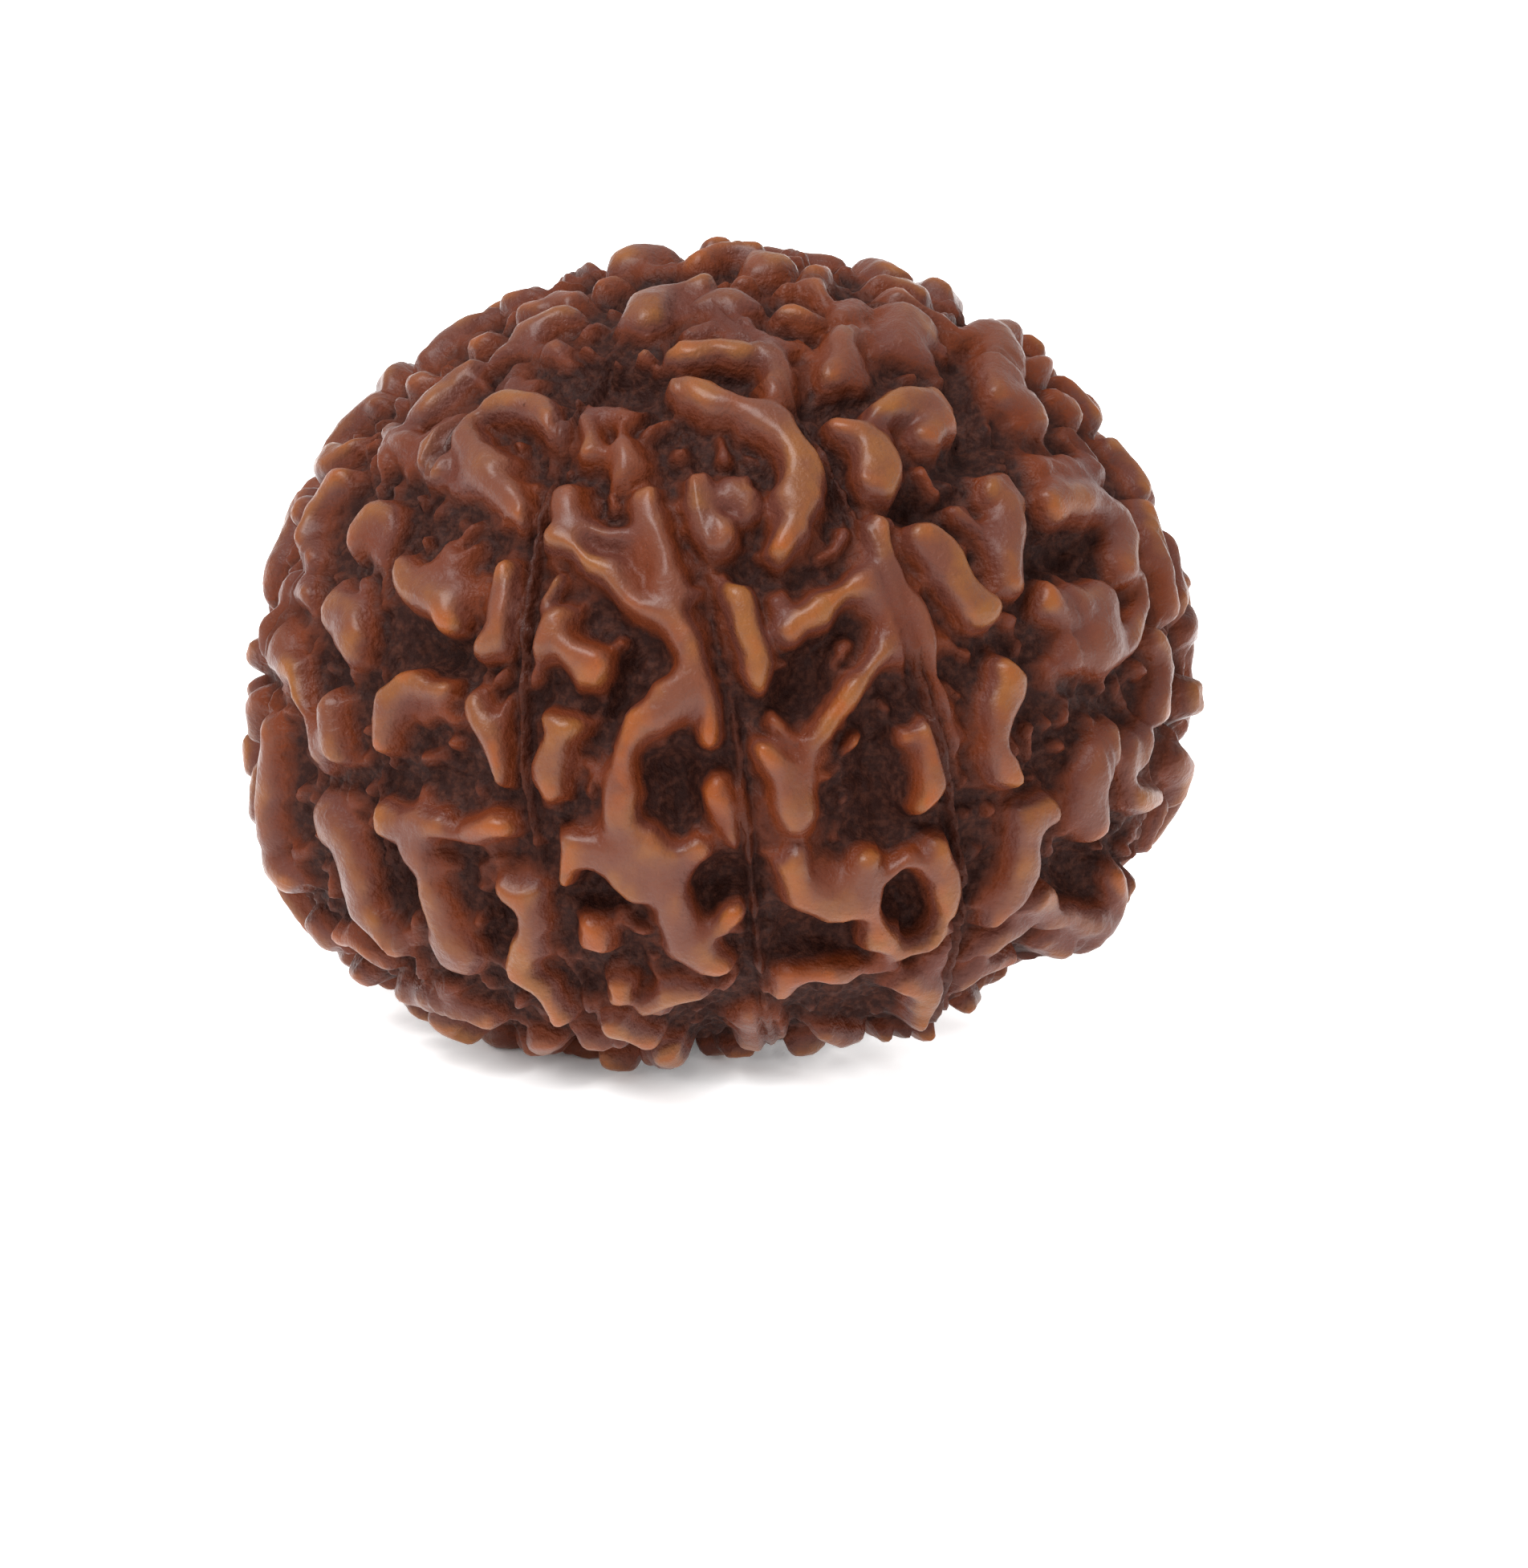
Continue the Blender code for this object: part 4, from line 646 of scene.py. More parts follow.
# %% A socket that can be used in sums
class Wire:
    """A socket of a node tree. A Wire made from a tree alone is where its first node starts."""

    def __init__(self, tree, socket=None, made=None):
        self.tree, self.socket, self.made = tree, socket, made

    def node(self, kind, settings=(), links=(), output=None):
        """A new node: its settings are set first, then the values and links of its sockets."""
        made = self.tree.nodes.new(kind)
        for name, value in dict(settings).items():
            setattr(made, name, value)
        for name, value in dict(links).items():
            socket = self.find(made.inputs, name)
            if isinstance(value, Wire):
                self.tree.links.new(value.socket, socket)
            else:
                socket.default_value = value
        return Wire(self.tree, self.find(made.outputs, output), made)

    @staticmethod
    def find(sockets, name):
        """A socket by its place in the list or by its name, leaving out those that the settings turn off."""
        if isinstance(name, int):
            return sockets[name]
        shown = [socket for socket in sockets if socket.enabled and name in (None, socket.name)]
        return shown[0] if shown else None

    def __getitem__(self, name):
        """Another output of the same node."""
        return Wire(self.tree, self.find(self.made.outputs, name), self.made)

    def math(self, operation, *others):
        return self.node("ShaderNodeMath", {"operation": operation}, dict(enumerate((self, *others))))

    def vector(self, operation, *others, output="Vector"):
        values = dict(enumerate((self, *others)))
        return self.node("ShaderNodeVectorMath", {"operation": operation}, values, output)

    def times(self, number):
        return self.node("ShaderNodeVectorMath", {"operation": "SCALE"}, {0: self, "Scale": number}, "Vector")

    def dot(self, other):
        return self.vector("DOT_PRODUCT", other, output="Value")

    def rise(self, low, high):
        """0 below low, 1 above high, and a smooth rise between them."""
        sizes = {"Value": self, "From Min": low, "From Max": high}
        return self.node("ShaderNodeMapRange", {"interpolation_type": "SMOOTHSTEP"}, sizes)

    def bell(self, width):
        """1 where this is 0, falling off over the width."""
        return (-1.0 * (self / width) ** 2.0).math("EXPONENT")

    def mix(self, low, high):
        """From one colour where this is 0 to the other where it is 1."""
        colours = {"Factor": self, "A": low, "B": high}
        return self.node("ShaderNodeMix", {"data_type": "RGBA"}, colours, "Result")

    def noise(self, scale, detail, w, output="Fac"):
        """Noise over this vector. W moves it to another part of the pattern."""
        sizes = {"Vector": self, "W": w, "Scale": scale, "Detail": detail}
        return self.node("ShaderNodeTexNoise", {"noise_dimensions": "4D"}, sizes, output)

    def __add__(self, other):
        return self.math("ADD", other)

    def __sub__(self, other):
        return self.math("SUBTRACT", other)

    def __mul__(self, other):
        return self.math("MULTIPLY", other)

    def __truediv__(self, other):
        return self.math("DIVIDE", other)

    def __pow__(self, other):
        return self.math("POWER", other)

    def __rsub__(self, other):
        return self.node("ShaderNodeMath", {"operation": "SUBTRACT"}, {0: other, 1: self})

    def __rtruediv__(self, other):
        return self.node("ShaderNodeMath", {"operation": "DIVIDE"}, {0: other, 1: self})

    __radd__ = __add__
    __rmul__ = __mul__


print("sums are ready")

# %% [markdown]
# ## A skin over rods
# The ridges have full round tops and steep sides, as if rods lay on the body under a tight skin, and that
# is how they are made. The tree turns each crest line into a rod, sinks it so far that its top has the
# ridge's height, and shoots a ray from outside at every point of a fine ball. Where the ray meets a rod,
# the skin lies on it, and elsewhere on the floor of the valleys. A little noise bends the rays, so that no
# ridge looks turned on a lathe.

# %% Start the tree and name its inputs
SIZES = {
    "Points along a side": 220,
    "Half width": HALF_WIDTH,
    "Dome height": DOME_HEIGHT,
    "Dome roundness": DOME_ROUNDNESS,
    "Bowl depth": BOWL_DEPTH,
    "Bowl roundness": BOWL_ROUNDNESS,
    "Axis": tuple(AXIS),
    "Front": tuple(FRONT),
    "Side": tuple(SIDE),
    "Relief": RELIEF,
    "Unevenness": 0.28,
    "Lumpiness": 0.2,
    "Fullness": 1.1,
    "Skirt": 0.92,
    "Pit radius": 0.75,
    "Faces": float(FACES),
    "First seam": FIRST_SEAM,
    "Seam wander": 1.1,
    "Seam depth": 0.38,
    "Basin radius": 1.3,
    "Basin depth": 0.3,
    "Valley grain": 0.3,
    "Surface grain": 0.07,
    "Seed": float(SEED),
    "Centre": (0.0, 0.0, -float(foot[2]) - REST_CUT),
}
SOCKET_TYPES = {int: "Int", float: "Float", tuple: "Vector"}
tree = bpy.data.node_groups.new("skin_over_rods", "GeometryNodeTree")
stone_material = bpy.data.materials.new("oiled_stone")


def tree_socket(name, kind, way="INPUT"):
    return tree.interface.new_socket(name=name, in_out=way, socket_type="NodeSocket" + kind)


tree_socket("Stone", "Geometry", "OUTPUT")
tree_socket("Crest lines", "Geometry")
identifiers = {}
for name, value in SIZES.items():
    item = tree_socket(name, SOCKET_TYPES[type(value)])
    item.default_value = value
    identifiers[name] = item.identifier
identifiers["Material"] = tree_socket("Material", "Material").identifier
start = Wire(tree)
given = start.node("NodeGroupInput")
print(len(identifiers), "named inputs")

# %% Short words for the nodes of the tree
# Each noise has a scale, a number of finer layers, and a distance from the seed in the pattern
NOISES = {
    "swell": (0.9, 2.0, 21.0),
    "bend": (0.8, 1.0, 0.0),
    "knobs": (0.8, 2.0, 1.0),
    "skirts": (0.45, 2.0, 11.0),
    "breaks": (0.25, 2.0, 5.0),
    "valleys": (2.2, 4.0, 3.0),
    "surface": (1.5, 4.0, 7.0),
}
MIDDLE = 0.5
BOTH_WAYS = 2.0


def geometry(kind, links=(), settings=(), output=None):
    return start.node("GeometryNode" + kind, settings, links, output)


def named(attribute):
    return geometry("InputNamedAttribute", {"Name": attribute}, {"data_type": "FLOAT"})


def store(points, attribute, value):
    links = {"Geometry": points, "Name": attribute, "Value": value}
    return geometry("StoreNamedAttribute", links, {"data_type": "FLOAT", "domain": "POINT"})


def blurred(value, rounds):
    return geometry("BlurAttribute", {"Value": value, "Iterations": rounds}, {"data_type": "FLOAT"})


def noise_over(points, name, output="Fac"):
    scale, detail, beyond_seed = NOISES[name]
    return points.noise(scale, detail, given["Seed"] + beyond_seed, output)


print(len(NOISES), "noises")

# %% Make the ball whose points shoot the rays
EIGHTH_TURN = math.pi / 4
position = geometry("InputPosition")
side = given["Points along a side"]
cube = geometry("MeshCube", {"Size": (2.0,) * 3, "Vertices X": side, "Vertices Y": side, "Vertices Z": side})
even = position.vector("MULTIPLY", (EIGHTH_TURN,) * 3).vector("TANGENT").vector("NORMALIZE")
ball = geometry("SetPosition", {"Geometry": cube, "Position": even})
print("a cube of", SIZES["Points along a side"], "points a side, blown up to a ball")

# %% Lay the rods
SWELLING = 3.0
ROD_SIDES = 16
KNOB_LEVEL = 2
swell = noise_over(position, "swell") - MIDDLE
half_width = named("half_width") * (1.0 + swell * given["Lumpiness"] * SWELLING)
height = named("height")
chosen = {"Geometry": given["Crest lines"], "Selection": height.math("GREATER_THAN", 0.0)}
sorted_lines = geometry("SeparateGeometry", chosen, {"domain": "POINT"})
sink = given["Relief"] * (1.0 - height) + half_width
sunk = position.vector("SUBTRACT", position.vector("NORMALIZE").times(sink))
rod_lines = geometry("SetPosition", {"Geometry": sorted_lines["Selection"], "Position": sunk})
profile = geometry("CurvePrimitiveCircle", {"Resolution": ROD_SIDES, "Radius": 1.0}, {"mode": "RADIUS"})
curves = geometry("MeshToCurve", {"Mesh": rod_lines})
rod_sizes = {"Curve": curves, "Profile Curve": profile, "Scale": half_width, "Fill Caps": True}
rods = geometry("CurveToMesh", rod_sizes)
knob = geometry("MeshIcoSphere", {"Radius": 1.0, "Subdivisions": KNOB_LEVEL})
knobs = geometry("InstanceOnPoints", {"Points": rod_lines, "Instance": knob, "Scale": half_width})
joined = geometry("JoinGeometry")
for part in (geometry("RealizeInstances", {"Geometry": knobs}), rods):
    tree.links.new(part.socket, joined.made.inputs[0])
print("rods with round ends")

# %% Shoot the rays
FAR_OUT = 1.6 * HALF_WIDTH
BENDING = 4.0
SMALLEST_IN_NODES = 1e-9


def radius_of(direction):
    """The nodes for the distance from the centre to the smooth body in a direction."""
    sine = direction.dot(given["Axis"])
    upper = sine.math("GREATER_THAN", 0.0)
    tall = given["Bowl depth"] + upper * (given["Dome height"] - given["Bowl depth"])
    power = given["Bowl roundness"] + upper * (given["Dome roundness"] - given["Bowl roundness"])
    cosine = (1.0 - sine * sine).math("MAXIMUM", SMALLEST_IN_NODES).math("SQRT")
    total = (cosine / given["Half width"]) ** power + (sine.math("ABSOLUTE") / tall) ** power
    return total ** (-1.0 / power), sine, cosine


on_floor = position.times(HALF_WIDTH)
bend = noise_over(on_floor, "bend", "Color").vector("SUBTRACT", (MIDDLE,) * 3)
aimed = on_floor.vector("ADD", bend.times(given["Unevenness"] * BENDING)).vector("NORMALIZE")
body_there, _, _ = radius_of(aimed)
ray = {"Source Position": aimed.times(FAR_OUT), "Ray Direction": aimed.times(-1.0), "Ray Length": FAR_OUT}
hit = geometry("Raycast", {"Target Geometry": joined, **ray})
hit_radius = FAR_OUT - hit["Hit Distance"]
knobby = (noise_over(on_floor, "knobs") - MIDDLE) * given["Lumpiness"] * BOTH_WAYS
share = 1.0 - (body_there - hit_radius) / given["Relief"] + knobby
shot = store(ball, "share", share.math("MAXIMUM", 0.0) * hit["Is Hit"])
print("rays from", round(FAR_OUT, 1), "mm out")

# %% [markdown]
# ## Soften the skin
# The rays leave each rod with upright sides. A short blur rounds them off, and a wide one, kept low, gives
# each ridge the skirt with which it rises from the floor. The seams are then pressed in along fourteen
# lines of longitude that wander a little. On a real stone they fade in and out under the ridges, so noise
# breaks them, apart from the places where the photo shows one clearly. Pits, sunken ends and a rough floor
# follow.

# %% Skirts
WALL_ROUNDS = 6
SKIRT_ROUNDS = 40
FULL_TOP = 1.1
TOP_ROUNDING = 0.35
SKIRT_ROUNDING = 0.12
SKIRTS_GROW = (0.3, 0.7)
SKIRT_GROWTH = 0.6
LEAST_SKIRT = 0.5
body, sine, cosine = radius_of(position)
on_stone = position.times(body)
fine = (blurred(named("share"), WALL_ROUNDS) * given["Fullness"]).math("SMOOTH_MIN", FULL_TOP, TOP_ROUNDING)
fullness = noise_over(on_stone, "skirts").rise(*SKIRTS_GROW) * SKIRT_GROWTH + LEAST_SKIRT
skirt = blurred(named("share"), SKIRT_ROUNDS) * given["Skirt"] * fullness
soft = fine.math("SMOOTH_MAX", skirt, SKIRT_ROUNDING)
print("walls blurred", WALL_ROUNDS, "times, skirts", SKIRT_ROUNDS, "times")

# %% How far a point is from a seam
DEGREES = math.degrees(1.0)
SEAM_BENDS = 3.0
SEAM_PHASE = 2.4
from_axis = cosine * body
longitude = position.dot(given["Side"]).math("ARCTAN2", position.dot(given["Front"])) * DEGREES
latitude = sine.math("ARCSINE") * DEGREES
face_width = 360.0 / given["Faces"]
past_first = longitude - given["First seam"]
nearest_seam = (past_first / face_width).math("ROUND")
wander = given["Seam wander"] * ((SEAM_BENDS * latitude) / DEGREES + nearest_seam * SEAM_PHASE).math("SINE")
away = (past_first - nearest_seam * face_width - wander).math("ABSOLUTE")
to_seam = away / DEGREES * from_axis
print(FACES, "seams")

# %% Press the seams in
CLEAR_SEAMS = [(-5.2, 3.6, 3.0), (-5.3, -1.0, 2.4), (0.7, -4.6, 3.0), (6.2, -1.0, 2.6)]
CLEARED = 0.8
UNBROKEN = (0.42, 0.62)
BREAK_GROWTH = 0.75
LEAST_SEAM = 0.15
SEAMS_BEGIN = (2.5, 5.0)
SEAM_LIP = 0.19
SEAM_EDGE = 0.11
UNDER_LIP = 0.5
LIP_WIDTH = 0.1
LIP_HEIGHT = 0.35
LIP_COVERED = (0.3, 0.8)


def nearness(across, up, reach):
    """1 at a place across and up in the view, falling off within its reach."""
    outward = tuple(unit(seen_at(across, up)))
    return ((position.dot(outward) - 1.0) * (2.0 * (HALF_WIDTH / reach) ** 2)).math("EXPONENT")


whole = noise_over(on_stone, "breaks").rise(*UNBROKEN) * BREAK_GROWTH + LEAST_SEAM
for clear_place in CLEAR_SEAMS:
    whole = whole + CLEARED * nearness(*clear_place)
broken = whole.math("MINIMUM", 1.0) * from_axis.rise(*SEAMS_BEGIN)
press = ((to_seam - SEAM_LIP).bell(SEAM_EDGE) + UNDER_LIP * to_seam.bell(SEAM_LIP)) * broken
lip = to_seam.bell(LIP_WIDTH) * broken * (1.0 - soft.rise(*LIP_COVERED))
soft = soft * (1.0 - given["Seam depth"] * press) + lip * LIP_HEIGHT
print("each seam is two fine lines with a lip between")

# %% Pits and sunken ends
PIT_DEPTH = 0.35
PIT_COVERED = (0.35, 0.7)
BASIN_STEEPNESS = 4.0
pit_lines = {"Geometry": sorted_lines["Inverted"], "Sample Position": on_stone}
to_pit = geometry("Proximity", pit_lines, {"target_element": "POINTS"}, "Distance")
pit = to_pit.bell(given["Pit radius"]) * (1.0 - soft.rise(*PIT_COVERED))
basin = (-1.0 * (from_axis / given["Basin radius"]) ** BASIN_STEEPNESS).math("EXPONENT")
soft = soft - pit * PIT_DEPTH
soft = soft - basin * (soft + given["Basin depth"])
print("pits, and a hollow round each end")

# %% Grain of the floor and of the crests
VALLEYS_END = (0.3, 1.0)
SEAM_SHADE_WIDTH = 0.22
in_valley = 1.0 - soft.rise(*VALLEYS_END)
soft = soft + in_valley * (noise_over(on_stone, "valleys") - MIDDLE) * given["Valley grain"] * BOTH_WAYS
grain = (noise_over(on_stone, "surface") - MIDDLE) * given["Surface grain"] * BOTH_WAYS
# The seam attribute marks where the finish paints shade along the seams.
shaped = store(store(shot, "relief", soft), "seam", to_seam.bell(SEAM_SHADE_WIDTH) * broken)
print("grain added")

# %% Move the points, flatten the foot and store what the finish needs
FOOT_ROUNDING = 0.2
NEAR_ROUNDS = 4
WIDE_ROUNDS = 60
swollen = body - (given["Relief"] * (1.0 - named("relief")) - grain)
for across, up, reach, amount in BULGES:
    swollen = swollen + amount * nearness(across, up, reach)
placed = position.times(swollen).vector("ADD", given["Centre"])
parts = start.node("ShaderNodeSeparateXYZ", {}, {"Vector": placed})
above_floor = parts["Z"].math("SMOOTH_MAX", 0.0, FOOT_ROUNDING)
flattened = start.node("ShaderNodeCombineXYZ", {}, {"X": parts["X"], "Y": parts["Y"], "Z": above_floor})
stands_out = blurred(named("relief"), NEAR_ROUNDS) - blurred(named("relief"), WIDE_ROUNDS)
finished = store(shaped, "proud", stands_out)
finished = geometry("SetPosition", {"Geometry": finished, "Position": flattened.times(MM)})
finished = geometry("SetShadeSmooth", {"Geometry": finished, "Shade Smooth": True})
finished = geometry("RealizeInstances", {"Geometry": finished})
finished = geometry("SetMaterial", {"Geometry": finished, "Material": given["Material"]})
start.node("NodeGroupOutput", {}, {"Stone": finished})
print(len(tree.nodes), "nodes in the tree")

# %% [markdown]
# ## From the tree to a plain mesh
# The tree runs as a modifier on the crest lines. Decimate then thins the flat places, where points are
# wasted, and a Boolean drills the channel. The result is copied into a mesh of its own, and the modifiers
# go.

# %% Run the tree, thin the mesh and drill the channel
CHANNEL_RADIUS = 0.9
CHANNEL_SIDES = 48
KEPT_TRIANGLES = 195000
CUBE_TRIANGLES = 12 * (SIZES["Points along a side"] - 1) ** 2
skin = crest_lines.modifiers.new("skin over rods", "NODES")
skin.node_group = tree
for name, value in SIZES.items():
    skin[identifiers[name]] = value
skin[identifiers["Material"]] = stone_material
thin = crest_lines.modifiers.new("thin the flat places", "DECIMATE")
thin.ratio = KEPT_TRIANGLES / CUBE_TRIANGLES
centre = Vector(SIZES["Centre"])
drill_sizes = {"vertices": CHANNEL_SIDES, "radius": CHANNEL_RADIUS * MM, "depth": 2 * FAR_OUT * MM}
bpy.ops.mesh.primitive_cylinder_add(**drill_sizes)
drill = bpy.context.object
tilt = Vector((0.0, 0.0, 1.0)).rotation_difference(Vector(AXIS)).to_matrix().to_4x4()
drill.matrix_world = Matrix.Translation(centre * MM) @ tilt
drilled = crest_lines.modifiers.new("channel", "BOOLEAN")
drilled.operation = "DIFFERENCE"
drilled.solver = "EXACT"
drilled.object = drill
graph = bpy.context.evaluated_depsgraph_get()
stone_mesh = bpy.data.meshes.new_from_object(crest_lines.evaluated_get(graph), depsgraph=graph)
stone_mesh.name = "rudraksha_stone_fine"
stone_mesh.materials.clear()
stone_mesh.materials.append(stone_material)
for helper in (crest_lines, drill):
    bpy.data.objects.remove(helper)
stone = put_in_scene("rudraksha_stone_fine", stone_mesh)
stone_mesh.calc_loop_triangles()
print(len(stone_mesh.loop_triangles), "triangles")
print("attributes:", [layer.name for layer in stone_mesh.attributes])

# %% Centre it on the solid
low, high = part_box("rudraksha_stone")
corners = np.array([corner[:] for corner in stone.bound_box])
shift = (low + high) / 2 - Vector((corners.min(axis=0) + corners.max(axis=0)) / 2)
stone_mesh.transform(Matrix.Translation((shift.x, shift.y, 0.0)))
print("moved by", [round(1000 * side, 3) for side in shift.xy], "mm")

# %% [markdown]
# ## The finish
# The stone is deep brown, oiled by handling. The valleys hold dark dust and are painted darker still as
# shade, the steep sides get a painted orange-red glow for light that comes through the edges, the tops are
# paler, partly from wear and partly as painted light, and painted shade lines the seams. The attributes that
# the tree stored say where each of these is, so the colours follow the shape, and noise breaks them up.

# %% Colours
def light(part):
    """One part of a colour picked on a screen, from 0 to 255, turned into light by the sRGB curve."""
    return (part / 255 / 12.92) if part <= 10 else ((part / 255 + 0.055) / 1.055) ** 2.4


def colour(red, green, blue):
    return (light(red), light(green), light(blue), 1.0)


SHADE = colour(39, 17, 12)
DUST = colour(63, 33, 24)
LOW_WALL = colour(69, 30, 17)
WALL = colour(90, 39, 17)
MAUVE = colour(80, 43, 35)
TAN = colour(114, 68, 30)
ROSE = colour(91, 49, 33)
GLOW_ORANGE = colour(128, 60, 14)
print("tan", [round(part, 3) for part in TAN])

# %% Patterns and attributes that the finish reads
# Each noise has a scale, a number of finer layers, and its place in the pattern
CLOUD = (0.28, 2.0, 1.0)
PATCH = (0.75, 3.0, 5.0)
SPECK = (3.2, 3.0, 9.0)
FLECK = (5.5, 4.0, 25.0)
STREAK = (0.9, 2.0, 21.0)
FIBRE = (3.0, 4.0, 11.0)
FINE_FIBRE = (9.0, 3.0, 13.0)
stone_material.use_nodes = True
shader_tree = stone_material.node_tree
shader_tree.nodes.clear()
paint = Wire(shader_tree)
place = paint.node("ShaderNodeTexCoord", {}, {}, "Object").times(1.0 / MM)
cloud, patch, speck, fleck, streak = (place.noise(*noise) for noise in (CLOUD, PATCH, SPECK, FLECK, STREAK))
stored = [{"attribute_name": name} for name in ("relief", "proud", "seam")]
relief, proud, seam = (paint.node("ShaderNodeAttribute", name, {}, "Fac") for name in stored)
print("seven noises and three attributes")

# %% Paint it
# From where to where each colour comes in
DUSTY = (0.4, 0.72)
LOW_WALLS = (0.2, 0.38)
WALLS = (0.36, 0.56)
MAUVE_WALLS = (0.42, 0.62)
MAUVE_CLOUDS = (0.4, 0.56)
WORN_AND_LIT = (0.5, 0.84)
TAN_TOPS = (0.54, 0.76)
GLOW_EDGES = (0.1, 0.4)
GLOW_WALLS = (0.4, 0.7)
GLOW_STREAKS = (0.44, 0.56)
# How much of each there is
PATCHES_IN_LEVEL = 0.4
SPECKS_IN_LEVEL = 0.25
MAUVE_SHARE = 0.85
WORN_AND_LIT_BY_LEVEL = 0.75
WORN_AND_LIT_BY_EDGE = 0.5
TAN_BY_EDGE = 0.6
TAN_BY_PATCH = 0.6
TAN_BY_CLOUD = 0.4
LEAST_GLOW = 0.2
GLOW_SHARE = 0.6
SEAM_SHARE = 0.65
level = relief + (patch - MIDDLE) * PATCHES_IN_LEVEL + (speck - MIDDLE) * SPECKS_IN_LEVEL
# The valley floor: dark dust, flecked with the painted shade colour.
base = fleck.rise(*DUSTY).mix(SHADE, DUST)
# Lower down the ridges the colour darkens: partly the stone's own red-brown, partly painted shade in the
# valleys.
base = level.rise(*LOW_WALLS).mix(base, LOW_WALL)
base = level.rise(*WALLS).mix(base, WALL)
mauve = level.rise(*MAUVE_WALLS) * cloud.rise(*MAUVE_CLOUDS)
base = (mauve * MAUVE_SHARE).mix(base, MAUVE)
# Painted light: the crests are paler and tanner, partly from wear and partly as a painted highlight on the
# tops.
worn_and_lit = (level * WORN_AND_LIT_BY_LEVEL + proud * WORN_AND_LIT_BY_EDGE).rise(*WORN_AND_LIT)
hue = proud * TAN_BY_EDGE + patch * TAN_BY_PATCH + cloud * TAN_BY_CLOUD
base = worn_and_lit.mix(base, hue.rise(*TAN_TOPS).mix(ROSE, TAN))
# Painted glow: orange-red on the steep sides for light that comes through the edges.
glow = proud.rise(*GLOW_EDGES) * level.rise(*GLOW_WALLS) * (LEAST_GLOW + streak.rise(*GLOW_STREAKS))
base = (glow * GLOW_SHARE).mix(base, GLOW_ORANGE)
# Painted shade along the seam grooves.
base = (seam * SEAM_SHARE).mix(base, SHADE)
print("eight colours laid over each other")

# %% Oil it
OILED_ROUGHNESS = 0.36
DRY_ROUGHNESS = 0.3
DRY_VALLEYS = (0.1, 0.7)
STREAKS_IN_OIL = 0.4
FINE_SHARE = 0.5
FIBRES = {"Strength": 0.8, "Distance": 0.12 * MM}
OILED_TOPS = (0.5, 0.95)
OIL = 0.28
SHINE = {"Specular IOR Level": 0.1, "Coat Roughness": 0.3}
dryness = (1.0 - relief.rise(*DRY_VALLEYS)) * DRY_ROUGHNESS
roughness = OILED_ROUGHNESS + dryness + (streak - MIDDLE) * STREAKS_IN_OIL
fibre = place.noise(*FIBRE) + FINE_SHARE * place.noise(*FINE_FIBRE)
bump = paint.node("ShaderNodeBump", {}, {"Height": fibre, **FIBRES})
oil = relief.rise(*OILED_TOPS) * OIL
surface = {"Base Color": base, "Roughness": roughness, "Coat Weight": oil, "Normal": bump, **SHINE}
shader = paint.node("ShaderNodeBsdfPrincipled", {}, surface)
paint.node("ShaderNodeOutputMaterial", {}, {"Surface": shader})
print(len(shader_tree.nodes), "nodes in the material")

# %% [markdown]
# ## Floor, light and camera
# The photo's floor is white right up to the stone, with only a thin dark shade where the two nearly touch,
# as on a lit table. So the floor gives light of its own, and an Ambient Occlusion node dims it close to the
# stone. A wide soft lamp from the upper left and a bright room, a little darker overhead, do the rest. The
# camera stands where the ridges were read from, 18 degrees above the table, with a long lens.

# %% Floor
FLOOR_SIDE = 3.0
FLOOR_FINISH = {"Base Color": (0.9, 0.9, 0.9, 1.0), "Roughness": 0.9, "Emission Strength": 1.0}
DIMMED_WITHIN = 1.5
DIMMING_RAYS = 4
bpy.ops.mesh.primitive_plane_add(size=FLOOR_SIDE)
floor = bpy.context.object
floor.name = "floor"
floor_material = bpy.data.materials.new("pale_floor")
floor_material.use_nodes = True
floor_tree = floor_material.node_tree
floor_shader = floor_tree.nodes["Principled BSDF"]
for name, value in FLOOR_FINISH.items():
    floor_shader.inputs[name].default_value = value
near_stone = {"Distance": DIMMED_WITHIN * MM}
dimmed = Wire(floor_tree).node("ShaderNodeAmbientOcclusion", {"samples": DIMMING_RAYS}, near_stone, "Color")
floor_tree.links.new(dimmed.socket, floor_shader.inputs["Emission Color"])
floor.data.materials.append(floor_material)
print("a floor", FLOOR_SIDE, "m wide")

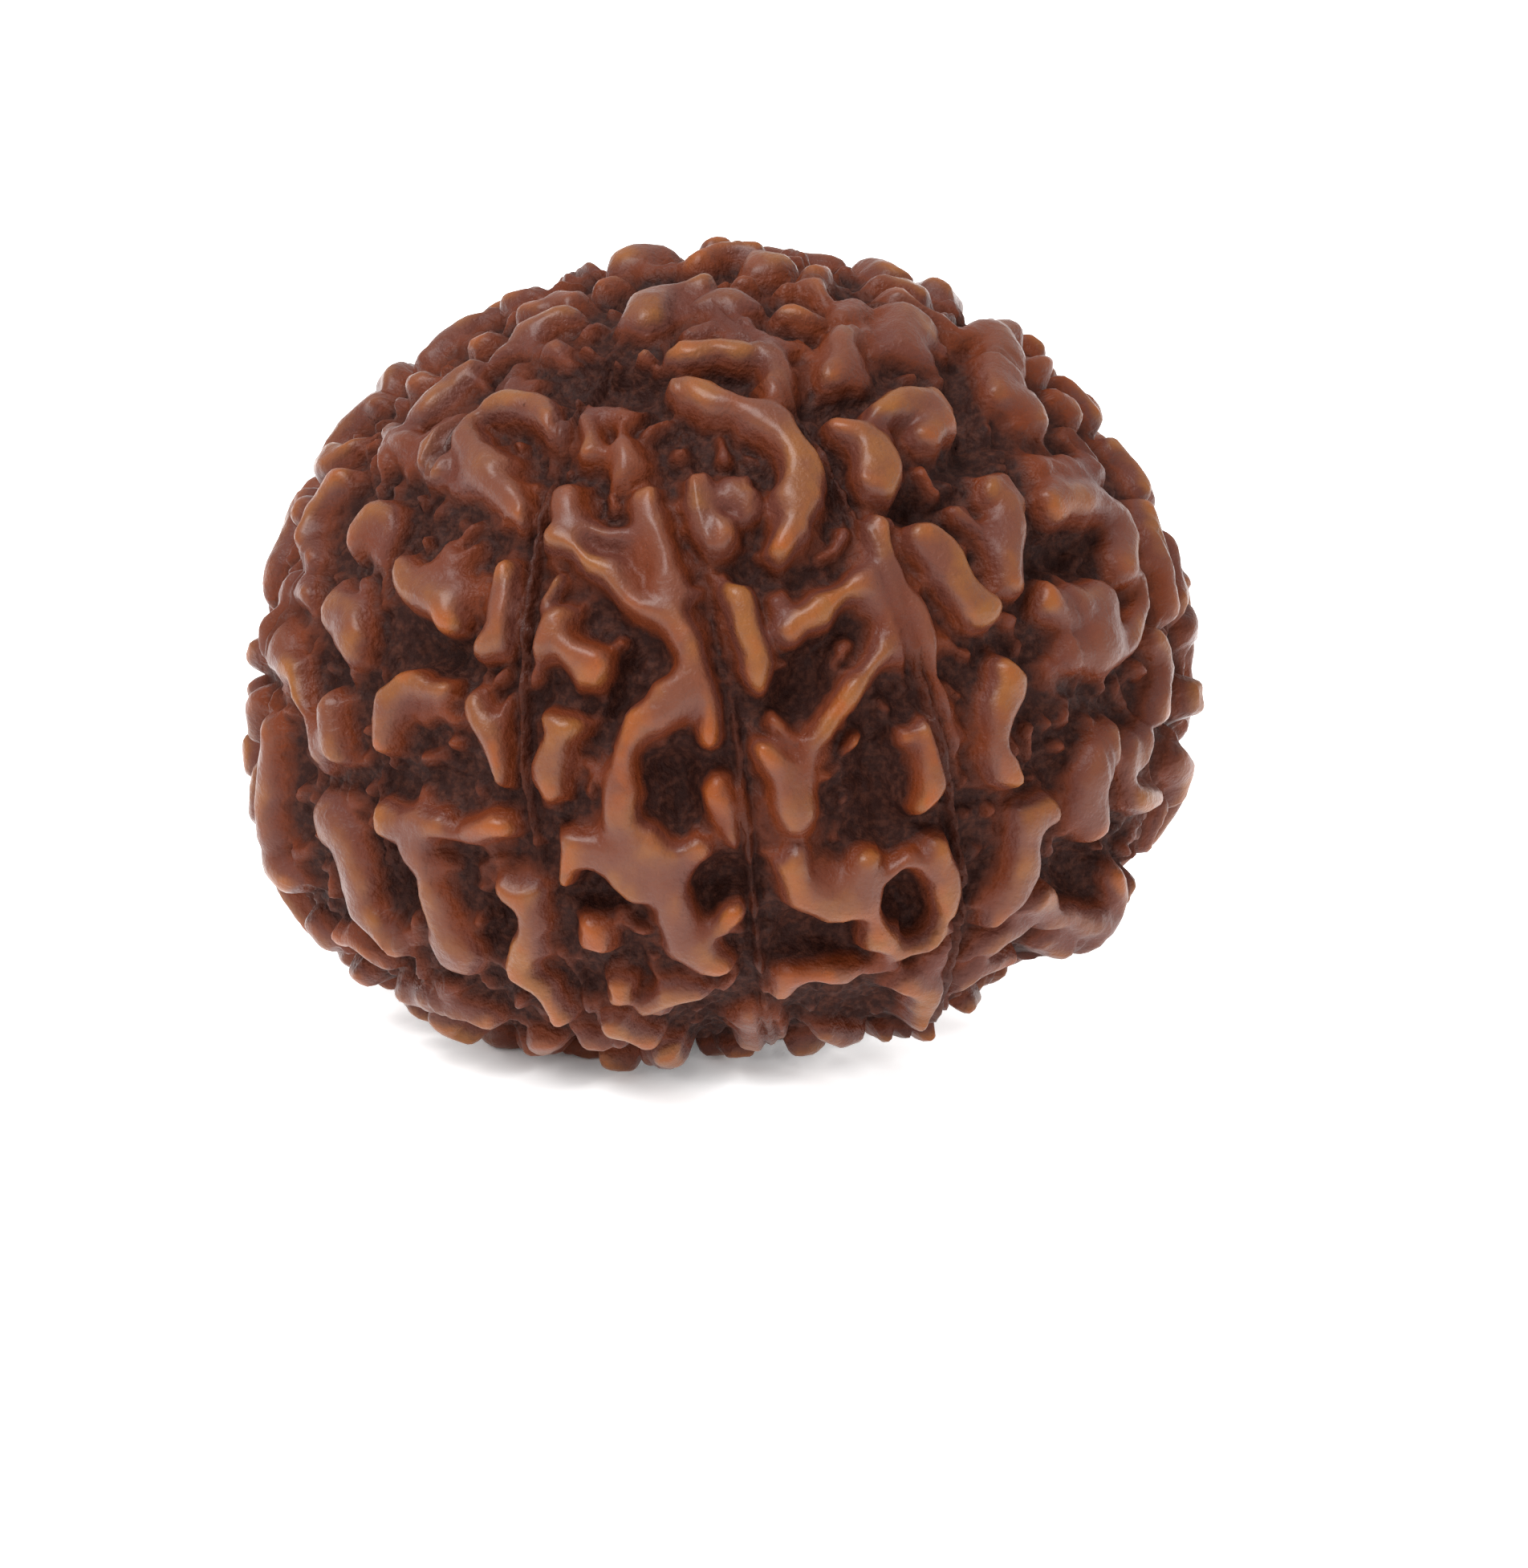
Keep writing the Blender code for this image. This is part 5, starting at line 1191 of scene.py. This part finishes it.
# %% Lamp and room
LAMP_STRENGTH = 3.5
LAMP_ANGLE = math.radians(32.0)
LAMP_SHINES = Vector((0.35, 0.3, -1.0))
ROOM_STRENGTH = 1.02
HORIZON_WHITE = (1.0, 1.0, 1.0, 1.0)
OVERHEAD_WHITE = (0.95, 0.95, 0.95, 1.0)
DARKER_FROM = (0.04, 0.3)
lamp = bpy.data.lights.new("wide_lamp", "SUN")
lamp.energy = LAMP_STRENGTH
lamp.angle = LAMP_ANGLE
put_in_scene("wide_lamp", lamp).rotation_euler = LAMP_SHINES.to_track_quat("-Z", "Y").to_euler()
world = bpy.data.worlds.new("bright_room")
world.use_nodes = True
room = Wire(world.node_tree).node("ShaderNodeTexCoord", {}, {}, "Generated")
overhead = room.dot((0.0, 0.0, 1.0)).rise(*DARKER_FROM).mix(HORIZON_WHITE, OVERHEAD_WHITE)
background = world.node_tree.nodes["Background"]
world.node_tree.links.new(overhead.socket, background.inputs["Color"])
background.inputs["Strength"].default_value = ROOM_STRENGTH
bpy.context.scene.world = world
bpy.context.scene.view_settings.view_transform = "Standard"
print("one wide lamp and a bright room")

# %% Camera
PIXELS_PER_MM = 47.5
IMAGE_WIDTH = 1904
IMAGE_HEIGHT = 1954
STONE_AT = (902, 889)
SENSOR = 36.0
NEAREST_SEEN = 0.01
camera = bpy.data.cameras.new("camera")
camera.sensor_width = SENSOR
camera.lens = SENSOR * PIXELS_PER_MM * EYE_DISTANCE / IMAGE_HEIGHT
camera.clip_start = NEAREST_SEEN
right_mm = (IMAGE_WIDTH / 2 - STONE_AT[0]) / PIXELS_PER_MM
up_mm = (STONE_AT[1] - IMAGE_HEIGHT / 2) / PIXELS_PER_MM
stand = put_in_scene("camera", camera)
eye = np.array(centre) + EYE_BACK * EYE_DISTANCE + EYE_RIGHT * right_mm + EYE_UP * up_mm
stand.location = Vector(eye) * MM + Vector((shift.x, shift.y, 0.0))
stand.rotation_euler = Matrix((EYE_RIGHT, EYE_UP, EYE_BACK)).transposed().to_euler()
bpy.context.scene.camera = stand
print("lens", round(camera.lens, 1), "mm")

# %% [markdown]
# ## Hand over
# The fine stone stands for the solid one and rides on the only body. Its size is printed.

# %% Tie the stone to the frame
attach(stone, "root")
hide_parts("rudraksha_stone")
print("fine stone, mm:", [round(1000 * side, 2) for side in stone.dimensions])
